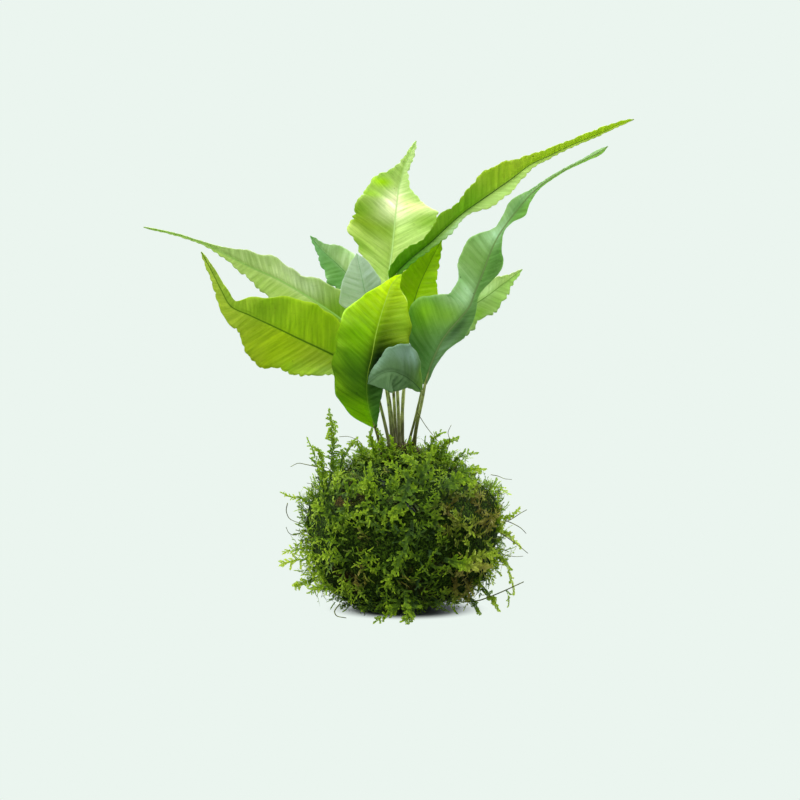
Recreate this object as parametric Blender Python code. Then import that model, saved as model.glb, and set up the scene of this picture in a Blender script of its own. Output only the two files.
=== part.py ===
"""A fern on a moss ball: a coir core wrapped in tufts of moss that a thread holds on, with a creeping rhizome on
top and eleven fronds growing from it. The origin is the centre of the flat spot that it rests on, +Z is up, and
-Y is the side with the nearest fronds. Tables are in millimetres, and MM turns them into Blender's metres."""

import math
import random

import bmesh
import bpy
import numpy as np

MM = 0.001
AWAY = np.array([0.0, 1.0, 0.0])  # the horizontal direction that a blade with no fold lies square to

# The ball, in millimetres
BALL_CENTRE = np.array([0.0, 0.0, 26.5])
CORE_RADIUS = 28.5
CORE_HALF_HEIGHT = 22.5
MOSS_THICKNESS = 5.0
SOLE_RADIUS = 14.0  # of the flat spot that the ball rests on
FACET_SAG = 0.75  # how far the middle of a tuft's facet may lie inside the curve through its corners
SQUARENESS = 2.4  # exponent of the ball's profile: 2 is an ellipse, more is a flatter top and bottom
GAP = 0.3  # between pieces that touch
THREAD_RADIUS = 0.4
THREAD_STEPS = 20  # points round each loop
FIRST_CROSSING_DEG = 19.0  # where round the ball the first upper crossing of the thread lies
CROSSING_POLAR = math.acos(1 / math.sqrt(3))  # three loops at right angles cross this far from the top
THREAD_INSET = 0.03  # how far a tuft's underside stays off the thread's line, as a share of the ball's radius
TOP_INSET = 0.009  # and its upper side, which closes over the thread
SLIT_HALF_ANGLE = 0.05  # of the slits in the collar that the long roots run in
CROWN_OPENING = (15.0, 10.8)  # half length and half width of the bare oval round the rhizome
CORE_RINGS = 10
CORE_SECTORS = 18
COLLAR_CELLS = (8, 3)  # of a collar tuft's surface, round the ball and down it
ROUND_DEG = 60  # surfaces that turn by less than this are shaded as round
LEAFY_DEG = 30  # the same for the leafy surface of a tuft

# Moss shoots, in millimetres
TUFT_ROWS = 6  # of triangles over a side tuft
TUFT_RELIEF = (1.6, -1.3)  # how far the tips and the hollows between them stand off a tuft's surface
SHOOT_ROWS = 5  # of shoots over a side tuft
SHOOT_LENGTH = (9.0, 13.0)
SHOOT_LIFT = (1.6, 3.4)
SHOOT_HALF_WIDTH = 2.7
SHOOT_RIDGE = 0.8
SHOOT_ROOT = 1.6  # how deep a shoot starts in its tuft
SHOOT_PULL = 0.12  # how far its root is drawn from the border to the middle of the tuft
SHOOT_TRIES = 30
SHOOT_CLEARANCE = 0.5  # from the plane between two tufts
GROUND_CLEARANCE = 0.25
COLLAR_SHOOTS = (3, 2)  # round the ball and down it
SPRIG_STATIONS = 12
SPRIG_TURN = 0.2  # how far a sprig's face turns from -Y to the outside of the ball
SHOOT_WIDTHS = (0.3, 1.0, 0.34, 0.95, 0.3, 0.75)  # barbs and the waists between them, root to tip
SEED = 41

# The rhizome: x, y and radius along its axis, in millimetres
RHIZOME_AXIS = (
    (-8.8, -4.4, 1.7),
    (-6.2, -3.4, 2.6),
    (-3.4, -1.9, 3.3),
    (0.0, -1.2, 3.4),
    (4.0, -2.3, 2.9),
    (7.6, -2.6, 1.8),
)
RHIZOME_STATIONS = 12
RHIZOME_WAIST = 0.88  # of every second station, as a share of the radius there
ROOT_RADIUS = (0.5, 0.35)
ROOTS = ((1, 205), (3, 100), (6, 62), (7, 300), (9, 335))  # the rhizome's row each grows from, and its bearing
LONG_ROOTS = (3, 5, 9)  # rows that a root leaves for each of the slits between the collar's tufts
LONG_ROOT_REACH = 18.0  # from the ball's axis
ROOT_SPAN = (0.4, 0.7)  # where a short root comes down on the core and ends, as shares of the bare oval
LONG_ROOT_START = 0.66  # where a long root comes down, as such a share
PRESS_AIR = 0.1  # under the roots and the thread, beyond the gap, for their flat facets

STALK_RADIUS = (0.8, 0.6)  # at the rhizome and at the blade
STALK_STATION = 6.0  # along a stalk, in millimetres
CUSHION_RADIUS = (1.3, 1.05)  # the small raised joint that each stalk stands on, at its foot and its top
CUSHION_LENGTH = 3.2

BLADE_CLEARANCE = 0.8  # from the end of a stalk to the middle of its blade's end
BLADE_THICKNESS = 1.1  # at the midrib
MARGIN_SHARE = 0.6  # the margin's thickness as a share of the midrib's
TOOTH_SHARE = 0.07  # how far the teeth stand out, as a share of the half width
BLADE_COLUMNS = (-1.0, -0.5, 0.0, 0.5, 1.0)
LEAST_HALF_WIDTH = 0.4
RUFFLED_WIDTH = 14.0  # a narrower part of a blade ruffles less
RUFFLE_LAG = 1.3  # between the waves of the two margins, in radians

# Each frond: which of the leaf colours it has; the stalk from the rhizome to the blade as x, y, z; the blade's midrib
# as x, y, z and the half widths to the left and the right of it, looking from the stalk to the tip; how far each half
# folds towards -Y, in degrees; and the ruffle of the margins as height, number of waves and phase.
FRONDS = {
    "left_low": {
        "leaf": "leaf_yellow",
        "stalk": ((-4.6, -4.2, 56.4), (-7.3, -4.8, 68.0), (-10.0, -5.2, 78.2)),
        "rib": (
            (-10.0, -5.2, 78.2, 0.7, 0.7),
            (-15.9, -6.5, 82.1, 5.5, 6.0),
            (-22.7, -9.0, 85.6, 7.8, 9.6),
            (-27.6, -11.0, 88.1, 11.4, 11.8),
            (-34.5, -13.5, 91.5, 12.6, 13.4),
            (-40.5, -16.0, 94.6, 14.6, 12.4),
            (-46.2, -18.0, 97.4, 11.2, 9.6),
            (-49.7, -19.0, 99.1, 7.8, 7.2),
            (-55.8, -20.5, 102.2, 4.0, 2.7),
            (-58.6, -21.5, 107.2, 2.4, 2.0),
            (-61.8, -22.0, 113.7, 1.3, 1.2),
            (-65.0, -22.0, 119.6, 0.4, 0.4),
        ),
        "fold": (-15, 20),
        "ruffle": (0.9, 5, 0.0),
    },
    "left_high": {
        "leaf": "leaf_pale",
        "stalk": ((-3.6, -2.1, 56.8), (-5.3, 0.2, 72.4), (-7.7, 2.0, 83.2)),
        "rib": (
            (-7.7, 2.0, 83.2, 0.7, 0.7),
            (-13.0, 4.0, 90.2, 5.0, 5.2),
            (-21.2, 6.0, 97.4, 8.5, 8.5),
            (-30.0, 9.0, 103.2, 9.0, 8.3),
            (-35.2, 11.5, 106.3, 8.0, 6.2),
            (-39.9, 14.0, 108.9, 7.6, 6.4),
            (-44.4, 16.0, 111.1, 6.7, 7.5),
            (-50.1, 18.0, 113.5, 4.2, 6.2),
            (-55.5, 20.0, 115.9, 2.5, 5.2),
            (-60.9, 22.0, 118.7, 1.6, 3.3),
            (-67.7, 24.0, 122.0, 0.9, 1.2),
            (-76.5, 26.0, 125.0, 0.8, 0.8),
            (-89.3, 28.0, 127.7, 0.4, 0.4),
        ),
        "fold": (10, 30),
        "ruffle": (0.9, 5, 1.5),
    },
    "front": {
        "leaf": "leaf_yellow",
        "stalk": ((-7.5, -4.6, 54.4), (-8.3, -6.2, 58.4), (-9.2, -8.0, 61.6)),
        "rib": (
            (-9.2, -8.0, 61.6, 0.7, 0.7),
            (-11.2, -12.5, 68.2, 8.2, 3.7),
            (-11.8, -16.5, 74.9, 10.6, 5.2),
            (-11.4, -19.0, 80.1, 12.2, 8.2),
            (-10.1, -21.0, 85.7, 13.3, 10.2),
            (-8.8, -22.0, 92.7, 13.4, 11.2),
            (-6.9, -21.5, 99.8, 11.4, 9.7),
            (-5.4, -20.5, 104.3, 7.3, 7.4),
            (-3.2, -18.2, 109.7, 2.1, 2.8),
            (-0.5, -16.0, 112.2, 0.5, 0.5),
        ),
        "fold": (-22, 8),
        "ruffle": (0.7, 5, 0.8),
    },
    "back_centre": {
        "leaf": "leaf_pale",
        "stalk": ((-2.3, -0.3, 56.9), (-3.2, 2.4, 73.1), (-4.6, 6.0, 89.6), (-4.8, 9.0, 102.6)),
        "rib": (
            (-4.8, 9.0, 102.6, 0.7, 0.7),
            (-5.1, 11.0, 107.9, 4.0, 4.2),
            (-4.4, 14.0, 114.6, 8.6, 8.0),
            (-3.6, 16.5, 120.6, 13.6, 10.6),
            (-3.2, 18.0, 124.8, 16.0, 12.2),
            (-2.8, 19.6, 129.0, 15.0, 13.8),
            (-2.4, 21.2, 133.2, 13.8, 14.6),
            (-2.0, 22.4, 136.4, 12.6, 9.4),
            (-1.5, 23.6, 140.4, 10.4, 5.2),
            (-0.6, 24.5, 144.0, 7.6, 2.8),
            (0.2, 25.0, 147.2, 3.4, 1.6),
            (1.4, 25.6, 150.6, 1.7, 1.9),
            (4.6, 26.0, 157.4, 0.4, 0.4),
        ),
        "fold": (14, 14),
        "ruffle": (1.1, 5, 2.2),
    },
    "back_left": {
        "leaf": "leaf_green",
        "stalk": ((-3.6, 1.5, 56.2), (-5.6, 4.6, 73.0), (-10.5, 9.6, 94.0), (-14.1, 12.0, 104.2)),
        "rib": (
            (-14.1, 12.0, 104.2, 0.7, 0.7),
            (-16.9, 14.0, 109.3, 5.6, 4.6),
            (-20.0, 16.0, 113.0, 6.8, 6.4),
            (-23.7, 18.0, 116.5, 5.0, 6.2),
            (-27.4, 19.6, 119.8, 2.2, 3.0),
            (-31.6, 21.0, 124.9, 0.4, 0.4),
        ),
        "fold": (20, 20),
        "ruffle": (0.6, 3, 0.5),
    },
    "young_left": {
        "leaf": "leaf_teal",
        "stalk": ((-2.5, -4.0, 56.8), (-4.9, -4.8, 73.5), (-8.0, -5.4, 88.0), (-10.6, -6.0, 99.0)),
        "rib": (
            (-10.6, -6.0, 99.0, 0.7, 0.7),
            (-11.8, -7.0, 103.6, 8.6, 3.4),
            (-12.8, -8.0, 107.6, 8.4, 5.6),
            (-13.6, -9.0, 111.6, 6.0, 5.0),
            (-14.4, -9.6, 115.2, 3.8, 3.4),
            (-15.2, -10.0, 119.0, 0.6, 0.6),
        ),
        "fold": (-10, -10),
        "ruffle": (0.5, 2, 0.0),
    },
    "right_high": {
        "leaf": "leaf_green",
        "stalk": ((-1.2, -2.3, 56.9), (-1.9, -1.6, 73.9), (-3.5, 0.0, 93.0), (-4.0, 2.0, 108.4)),
        "rib": (
            (-4.0, 2.0, 108.4, 0.7, 0.7),
            (-2.1, 3.0, 112.2, 3.4, 1.8),
            (3.0, 4.0, 117.4, 3.9, 2.6),
            (9.0, 5.5, 122.3, 4.5, 3.0),
            (14.8, 7.0, 127.7, 5.0, 4.2),
            (20.2, 8.5, 132.4, 4.6, 2.2),
            (26.0, 10.0, 136.5, 7.2, 6.0),
            (31.5, 11.5, 140.3, 8.3, 6.2),
            (37.3, 13.0, 144.4, 6.8, 4.2),
            (42.8, 14.5, 148.6, 3.9, 2.3),
            (48.8, 15.5, 151.5, 2.8, 1.5),
            (57.1, 16.5, 155.4, 2.2, 1.1),
            (67.4, 17.5, 159.7, 1.9, 1.0),
            (74.3, 18.0, 162.8, 1.1, 0.8),
            (78.4, 18.0, 164.6, 0.4, 0.4),
        ),
        "fold": (28, 55),
        "ruffle": (0.9, 6, 0.4),
    },
    "right_low": {
        "leaf": "leaf_teal",
        "stalk": ((3.8, -2.6, 57.0), (4.4, -4.6, 61.3), (6.5, -9.0, 71.8), (7.2, -10.5, 76.0)),
        "rib": (
            (7.2, -10.5, 76.0, 0.8, 0.8),
            (9.1, -13.0, 82.6, 3.4, 2.8),
            (10.7, -14.2, 86.6, 8.8, 4.0),
            (12.5, -15.0, 90.4, 13.2, 7.0),
            (14.7, -16.0, 93.6, 15.4, 8.4),
            (18.0, -16.5, 97.4, 11.8, 7.6),
            (21.4, -17.0, 101.6, 8.2, 4.0),
            (23.6, -17.5, 107.2, 6.8, 2.8),
            (25.9, -18.0, 113.0, 8.5, 7.6),
            (27.5, -18.0, 117.4, 9.0, 8.2),
            (29.4, -18.5, 122.0, 6.8, 4.4),
            (31.6, -19.0, 126.0, 2.6, 1.4),
            (34.4, -19.5, 130.0, 2.6, 2.2),
            (36.8, -20.0, 133.0, 3.8, 4.8),
            (39.1, -20.5, 135.9, 2.6, 3.2),
            (41.7, -21.0, 138.7, 1.3, 1.6),
            (48.7, -22.0, 144.0, 0.9, 1.4),
            (58.7, -23.5, 149.4, 0.8, 1.6),
            (62.8, -24.0, 151.5, 0.9, 1.2),
            (65.6, -24.0, 153.3, 0.4, 0.4),
        ),
        "fold": (-8, -50),
        "ruffle": (0.7, 6, 0.0),
    },
    "right_back": {
        "leaf": "leaf_pale",
        "stalk": ((-0.2, -0.2, 56.8), (0.3, 1.2, 74.1), (3.0, 3.6, 86.3), (9.7, 6.0, 94.5)),
        "rib": (
            (9.7, 6.0, 94.5, 0.7, 0.7),
            (16.0, 8.5, 97.2, 5.2, 7.4),
            (22.6, 11.5, 100.8, 5.8, 5.8),
            (28.8, 14.5, 104.7, 5.4, 5.8),
            (33.7, 17.0, 108.3, 3.6, 3.4),
            (37.1, 18.5, 110.8, 1.6, 1.6),
            (40.7, 20.0, 113.5, 0.4, 0.4),
        ),
        "fold": (35, 15),
        "ruffle": (0.8, 4, 0.6),
    },
    "back_right": {
        "leaf": "leaf_yellow",
        "stalk": ((-1.2, 1.7, 56.2), (0.3, 4.0, 73.0), (0.6, 5.5, 87.6)),
        "rib": (
            (0.6, 5.5, 87.6, 0.7, 0.7),
            (1.7, 6.0, 94.4, 5.0, 5.4),
            (3.4, 6.5, 101.6, 7.0, 8.2),
            (5.4, 7.0, 108.0, 7.2, 7.8),
            (8.1, 7.5, 114.0, 5.6, 4.6),
            (10.9, 8.0, 119.6, 2.3, 2.2),
            (13.0, 8.0, 123.6, 0.4, 0.4),
        ),
        "fold": (10, 18),
        "ruffle": (0.6, 4, 2.0),
    },
    "young_front": {
        "leaf": "leaf_teal",
        "stalk": ((1.9, -3.9, 56.4), (3.6, -7.4, 63.0), (5.2, -13.5, 70.4), (6.0, -18.0, 74.4)),
        "rib": (
            (6.0, -18.0, 74.4, 0.7, 0.7),
            (3.2, -22.5, 78.0, 5.2, 5.6),
            (-0.3, -26.0, 81.4, 9.0, 7.4),
            (-3.8, -27.6, 83.9, 11.4, 8.2),
            (-6.8, -28.0, 85.4, 8.8, 5.6),
            (-9.0, -28.0, 86.0, 1.4, 1.4),
        ),
        "fold": (10, -12),
        "ruffle": (0.5, 3, 0.0),
    },
}
STATION_LENGTH = 4.1  # along a blade, in millimetres, between one tooth and the next notch
LEAF_COLOURS = {
    "leaf_yellow": (0.215, 0.52, 0.008),
    "leaf_pale": (0.34, 0.64, 0.12),
    "leaf_green": (0.147, 0.38, 0.05),
    "leaf_teal": (0.1, 0.295, 0.107),
}

# Sprigs that stand clear of the ball, root to tip, in millimetres, with their half width
SPRIGS = {
    "tall_left": ((-23.5, -6.0, 45.0), (-23.8, -5.5, 54.0), (-23.0, -5.0, 62.0), (-24.0, -5.0, 67.5), 3.0),
    "left_upper": ((-26.5, -7.0, 36.0), (-33.0, -9.0, 38.0), (-37.0, -9.5, 38.6), (-40.0, -10.0, 40.0), 1.9),
    "left_lower": ((-29.0, -7.0, 19.0), (-34.0, -8.5, 18.0), (-38.0, -9.0, 17.0), (-41.0, -9.5, 16.5), 2.2),
    "foot_front": ((-1.5, -24.5, 8.5), (-3.5, -29.0, 5.5), (-6.0, -31.5, 2.6), (-9.0, -33.0, 1.4), 2.0),
    "right_droop": ((28.5, -7.0, 20.0), (33.5, -7.5, 18.0), (36.5, -8.0, 13.0), (37.5, -8.0, 7.0), 1.5),
    "right_runner": ((18.0, -8.0, 7.0), (25.0, -10.5, 5.5), (32.5, -11.5, 7.8), (41.0, -12.0, 11.0), 0.9),
}


def clear_scene():
    """Empties the file that the script is opened in."""
    for old in list(bpy.data.objects):
        bpy.data.objects.remove(old, do_unlink=True)


def finish(name, colour, roughness):
    """A plain material of one colour."""
    made = bpy.data.materials.new(name)
    made.use_nodes = True
    shader = made.node_tree.nodes["Principled BSDF"]
    shader.inputs["Base Color"].default_value = (*colour, 1.0)
    shader.inputs["Roughness"].default_value = roughness
    shader.inputs["Metallic"].default_value = 0.0
    return made


def add_object(name, mesh, material=None):
    """Links a mesh as a named object."""
    made = bpy.data.objects.new(name, mesh)
    bpy.context.scene.collection.objects.link(made)
    if material is not None:
        mesh.materials.clear()
        mesh.materials.append(material)
    return made


def shade(mesh, angle_deg):
    """Smooth shading with an edge where the surface turns by more than the angle."""
    mesh.shade_smooth()
    mesh.set_sharp_from_angle(angle=math.radians(angle_deg))


def mesh_of(name, points, faces):
    """A closed mesh from points in millimetres, with its faces turned outwards."""
    form = bmesh.new()
    corners = [form.verts.new(np.asarray(point) * MM) for point in points]
    for face in faces:
        form.faces.new([corners[index] for index in face])
    bmesh.ops.recalc_face_normals(form, faces=form.faces)
    mesh = bpy.data.meshes.new(name)
    form.to_mesh(mesh)
    form.free()
    return mesh


def evaluated_mesh(made):
    """The object's mesh with its modifiers applied."""
    graph = bpy.context.evaluated_depsgraph_get()
    return bpy.data.meshes.new_from_object(made.evaluated_get(graph))


def fuse(name, base, repeats, material):
    """Joins the repeats to the base with one Boolean union, and removes them."""
    group = bpy.data.collections.new(name + "_repeats")
    bpy.context.scene.collection.children.link(group)
    for repeat in repeats:
        group.objects.link(add_object(name + "_repeat", repeat))
    made = add_object(name, base)
    union = made.modifiers.new("union", "BOOLEAN")
    union.operation = "UNION"
    union.operand_type = "COLLECTION"
    union.collection = group
    union.solver = "MANIFOLD"
    joined = evaluated_mesh(made)
    for repeat in list(group.objects):
        bpy.data.objects.remove(repeat, do_unlink=True)
    bpy.data.collections.remove(group)
    bpy.data.objects.remove(made, do_unlink=True)
    return add_object(name, joined, material)


def along(rows, shares):
    """Rows at these shares of the length of a smooth curve through the given rows, whose first columns are x, y, z."""
    rows = np.array(rows, float)
    steps = np.linalg.norm(np.diff(rows[:, :3], axis=0), axis=1)
    reach = np.concatenate([[0.0], np.cumsum(steps)])
    slope = np.gradient(rows, reach, axis=0)
    at = np.asarray(shares, float) * reach[-1]
    first = np.clip(np.searchsorted(reach, at, side="right") - 1, 0, len(reach) - 2)
    step = (reach[first + 1] - reach[first])[:, None]
    s = (at - reach[first])[:, None] / step
    return (
        (2 * s**3 - 3 * s**2 + 1) * rows[first]
        + (s**3 - 2 * s**2 + s) * step * slope[first]
        + (3 * s**2 - 2 * s**3) * rows[first + 1]
        + (s**3 - s**2) * step * slope[first + 1]
    )


def unit(vectors):
    """The vectors at length one."""
    return vectors / np.linalg.norm(vectors, axis=-1, keepdims=True)


def length_of(rows):
    """The length of the line through the rows, in millimetres."""
    places = np.array(rows, float)[:, :3]
    return float(np.linalg.norm(np.diff(places, axis=0), axis=1).sum())


def tube(name, rows, radii, sides_resolution, material):
    """A curve object of round section through the rows, in millimetres, with filled ends."""
    curve = bpy.data.curves.new(name, "CURVE")
    curve.dimensions = "3D"
    curve.bevel_depth = MM
    curve.bevel_resolution = sides_resolution
    curve.use_fill_caps = True
    spline = curve.splines.new("POLY")
    spline.points.add(len(rows) - 1)
    for point, row, radius in zip(spline.points, rows, radii):
        point.co = (*(np.asarray(row) * MM), 1.0)
        point.radius = radius
    curve.materials.append(material)
    made = bpy.data.objects.new(name, curve)
    bpy.context.scene.collection.objects.link(made)
    return made


def tube_mesh(name, rows, radii, sides_resolution, closed=False):
    """The same as a mesh, with its seams welded, for a union. A closed tube is a loop."""
    made = tube(name, rows, radii, sides_resolution, None)
    made.data.splines[0].use_cyclic_u = closed
    mesh = evaluated_mesh(made)
    bpy.data.objects.remove(made, do_unlink=True)
    form = bmesh.new()
    form.from_mesh(mesh)
    bmesh.ops.remove_doubles(form, verts=form.verts, dist=0.001 * MM)
    bmesh.ops.recalc_face_normals(form, faces=form.faces)
    form.to_mesh(mesh)
    form.free()
    return mesh


def ball_point(direction, radius, half_height):
    """Where a ray from the ball's centre meets a ball of this size, in millimetres."""
    across = math.hypot(direction[0], direction[1]) / radius
    up = abs(direction[2]) / half_height
    reach = (across**SQUARENESS + up**SQUARENESS) ** (-1 / SQUARENESS)
    return BALL_CENTRE + np.asarray(direction) * reach


def core_point(direction, lift=0.0):
    """A point on the core, or this far out from it."""
    return ball_point(direction, CORE_RADIUS + lift, CORE_HALF_HEIGHT + lift)


def moss_point(direction, lift=0.0):
    """A point on the moss, never under the surface that the ball rests on."""
    place = core_point(direction, MOSS_THICKNESS + lift)
    on_sole = direction[2] < 0 and math.hypot(place[0], place[1]) < SOLE_RADIUS
    place[2] = 0.0 if on_sole else max(place[2], 0.0)
    return place


def direction_at(polar, azimuth):
    """A unit vector this far from straight up and this far round, in radians."""
    return np.array(
        [
            math.sin(polar) * math.cos(azimuth),
            math.sin(polar) * math.sin(azimuth),
            math.cos(polar),
        ]
    )


def crossing_directions():
    """The three directions, at right angles to each other, of the thread's upper crossings."""
    first = math.radians(FIRST_CROSSING_DEG)
    return [direction_at(CROSSING_POLAR, first + turn * 2 * math.pi / 3) for turn in range(3)]


def crown_radius(azimuth):
    """Half width of the bare oval round the rhizome, in this direction."""
    long_half, short_half = CROWN_OPENING
    return 1 / math.hypot(math.cos(azimuth) / long_half, math.sin(azimuth) / short_half)


# Coir core: a pressed ball, flattened top and bottom, hidden by the moss but for the crown
def build_core(material):
    """The core as a turned half profile."""
    form = bmesh.new()
    profile = []
    for ring in range(CORE_RINGS + 1):
        place = core_point(direction_at(math.pi * ring / CORE_RINGS, 0.0))
        profile.append(form.verts.new(place * MM))
    edges = [form.edges.new(pair) for pair in zip(profile, profile[1:])]
    bmesh.ops.spin(
        form,
        geom=profile + edges,
        cent=(0, 0, 0),
        axis=(0, 0, 1),
        angle=2 * math.pi,
        steps=CORE_SECTORS,
        use_merge=True,
    )
    bmesh.ops.remove_doubles(form, verts=form.verts, dist=0.01 * MM)
    bmesh.ops.recalc_face_normals(form, faces=form.faces)
    mesh = bpy.data.meshes.new("substrate_core")
    form.to_mesh(mesh)
    form.free()
    shade(mesh, ROUND_DEG)
    return add_object("substrate_core", mesh, material)


# Binding thread: three loops at right angles that lie in the furrows between the tufts
def build_thread(material):
    """Three loops fused where they cross."""
    corners = crossing_directions()
    loops = []
    for turn in range(3):
        across, along_loop = corners[turn], corners[(turn + 1) % 3]
        places = []
        for step in range(THREAD_STEPS):
            angle = 2 * math.pi * (step + 0.5) / THREAD_STEPS
            direction = math.cos(angle) * across + math.sin(angle) * along_loop
            places.append(core_point(direction, GAP + THREAD_RADIUS + PRESS_AIR))
        loops.append(tube_mesh("thread_loop", places, [THREAD_RADIUS] * THREAD_STEPS, 0, closed=True))
    made = fuse("binding_thread", loops[0], loops[1:], material)
    shade(made.data, ROUND_DEG)
    return made


# Moss tufts: pads pressed on the core, with a relief of leafy tips and feathery shoots rooted in them
def slab(name, outer_net, inner_net, faces, border, draw):
    """A pad between the core and the moss's shaggy surface, over two nets of directions."""
    outer = []
    for number, direction in enumerate(outer_net):
        level = TUFT_RELIEF[number % 2] * draw.uniform(0.4, 1.0)
        outer.append(moss_point(direction, level))
    inner = [core_point(direction, GAP + FACET_SAG) for direction in inner_net]
    count = len(outer)
    under = [tuple(count + index for index in reversed(face)) for face in faces]
    rim = []
    for start, end in zip(border, border[1:] + border[:1]):
        rim.append((end, start, count + start))
        rim.append((end, count + start, count + end))
    return mesh_of(name, outer + inner, list(faces) + under + rim)


def triangle_net(corners, rows):
    """Directions over a spherical triangle, its faces, and its border in order."""
    index, directions = {}, []
    for row in range(rows + 1):
        for column in range(row + 1):
            index[row, column] = len(directions)
            weights = ((rows - row) / rows, (row - column) / rows, column / rows)
            directions.append(unit(sum(w * corner for w, corner in zip(weights, corners))))
    faces = []
    for row in range(rows):
        for column in range(row + 1):
            faces.append((index[row, column], index[row + 1, column], index[row + 1, column + 1]))
            if column < row:
                faces.append((index[row, column], index[row + 1, column + 1], index[row, column + 1]))
    border = [index[row, 0] for row in range(rows)]
    border += [index[rows, column] for column in range(rows)]
    border += [index[row, row] for row in range(rows, 0, -1)]
    return directions, faces, border


def collar_net(turn, columns, rows, inset):
    """Directions over a third of the collar between the crown's oval and the thread, its faces and its border."""
    first = math.radians(FIRST_CROSSING_DEG) + turn * 2 * math.pi / 3
    slit = inset + SLIT_HALF_ANGLE
    index, directions = {}, []
    for column in range(columns + 1):
        azimuth = first + slit + (2 * math.pi / 3 - 2 * slit) * column / columns
        facing = math.cos(azimuth - first - math.pi / 3)
        outer = math.atan(1 / (math.sqrt(2) * facing)) - 1.5 * inset
        inner = math.atan(crown_radius(azimuth) / (CORE_HALF_HEIGHT + MOSS_THICKNESS))
        for row in range(rows + 1):
            index[column, row] = len(directions)
            directions.append(direction_at(inner + (outer - inner) * row / rows, azimuth))
    faces = []
    for column in range(columns):
        for row in range(rows):
            corners = (
                index[column, row],
                index[column, row + 1],
                index[column + 1, row + 1],
                index[column + 1, row],
            )
            faces.append(corners[:3])
            faces.append((corners[0], corners[2], corners[3]))
    border = [index[0, row] for row in range(rows)]
    border += [index[column, rows] for column in range(columns)]
    border += [index[columns, row] for row in range(rows, 0, -1)]
    border += [index[column, 0] for column in range(columns, 0, -1)]
    return directions, faces, border


def feather(rows, normals, half_width, ridge):
    """A barbed moss shoot along the rows: flat below, ridged above, with barbs that point to its tip."""
    count = len(rows)
    forward = unit(np.gradient(rows, axis=0))
    side = unit(np.cross(forward, normals))
    up = np.cross(side, forward)
    shares = np.interp(np.linspace(0, 1, count), np.linspace(0, 1, len(SHOOT_WIDTHS)), SHOOT_WIDTHS)
    points, faces = [], []
    for k in range(count - 1):
        width = half_width * shares[k]
        lead = forward[k] * 0.5 * width * (k % 2)
        points += [
            rows[k] + side[k] * width + lead,
            rows[k] + up[k] * ridge,
            rows[k] - side[k] * width + lead,
        ]
        if k:
            a, b = 3 * (k - 1), 3 * k
            for i in range(3):
                j = (i + 1) % 3
                faces += [(a + i, a + j, b + j), (a + i, b + j, b + i)]
    points.append(rows[-1])
    tip, last = 3 * (count - 1), 3 * (count - 2)
    faces += [(last + i, last + (i + 1) % 3, tip) for i in range(3)]
    faces.append((2, 1, 0))
    return points, faces


def grown_shoot(root_direction, heading, length, lift):
    """Centre line and outward directions of a shoot that roots in a tuft and arches over it."""
    surface = moss_point(root_direction)
    normal = unit(surface - BALL_CENTRE)
    along_surface = unit(heading - heading.dot(normal) * normal)
    shares = np.linspace(0, 1, len(SHOOT_WIDTHS))
    rise = -SHOOT_ROOT + (lift + SHOOT_ROOT) * (1 - (1 - shares) ** 2)
    rows = surface + np.outer(shares * length, along_surface) + np.outer(rise, normal)
    return rows, np.tile(normal, (len(rows), 1))


def inside(points, planes):
    """True if every point is on the tuft's side of its planes, and off the ground and the crown's oval."""
    places = np.asarray(points)
    relative = places - BALL_CENTRE
    if any((relative @ plane).min() < SHOOT_CLEARANCE for plane in planes):
        return False
    long_half, short_half = CROWN_OPENING
    oval = np.hypot(places[:, 0] / long_half, places[:, 1] / short_half)
    if ((oval < 1) & (relative[:, 2] > 0)).any():
        return False
    return bool(places[:, 2].min() > GROUND_CLEARANCE)


def shoots_on(name, directions, planes, draw):
    """Meshes of shoots that root at these places of a tuft, each turned so that it stays in its own tuft."""
    meshes = []
    middle = unit(sum(directions))
    for direction in directions:
        root = unit(direction + SHOOT_PULL * (middle - direction))
        for _ in range(SHOOT_TRIES):
            heading = np.array([draw.gauss(0, 1) for _ in range(3)])
            length, lift = draw.uniform(*SHOOT_LENGTH), draw.uniform(*SHOOT_LIFT)
            rows, normals = grown_shoot(root, heading, length, lift)
            points, faces = feather(rows, normals, SHOOT_HALF_WIDTH, SHOOT_RIDGE)
            if inside(points, planes):
                meshes.append(mesh_of(name + "_shoot", points, faces))
                break
    return meshes


def sprig_meshes(planes):
    """Meshes of the sprigs that root in this tuft."""
    meshes = []
    for name, (*path, half_width) in SPRIGS.items():
        root = np.array(path[0]) - BALL_CENTRE
        if all(root @ plane > 0 for plane in planes):
            rows = along(path, np.linspace(0, 1, SPRIG_STATIONS))
            outward = unit(rows - BALL_CENTRE)
            facing = np.tile(-AWAY, (len(rows), 1)) + SPRIG_TURN * outward
            points, faces = feather(rows, facing, half_width, SHOOT_RIDGE)
            meshes.append(mesh_of(name, points, faces))
    return meshes


def build_tuft(name, outer_net, inner_net, roots, planes, draw, material):
    """One tuft: its pad with its shoots fused to it."""
    directions, faces, border = outer_net
    pad = slab(name, directions, inner_net[0], faces, border, draw)
    made = fuse(name, pad, shoots_on(name, roots, planes, draw) + sprig_meshes(planes), material)
    shade(made.data, LEAFY_DEG)
    return made


def tuft_corners(planes, inset):
    """A tuft's three corners, moved in by this share of the ball's radius."""
    whole = sum(planes)
    turned = [unit(plane + inset * (whole - plane)) for plane in planes]
    return turned if np.linalg.det(turned) > 0 else [turned[0], turned[2], turned[1]]


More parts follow.
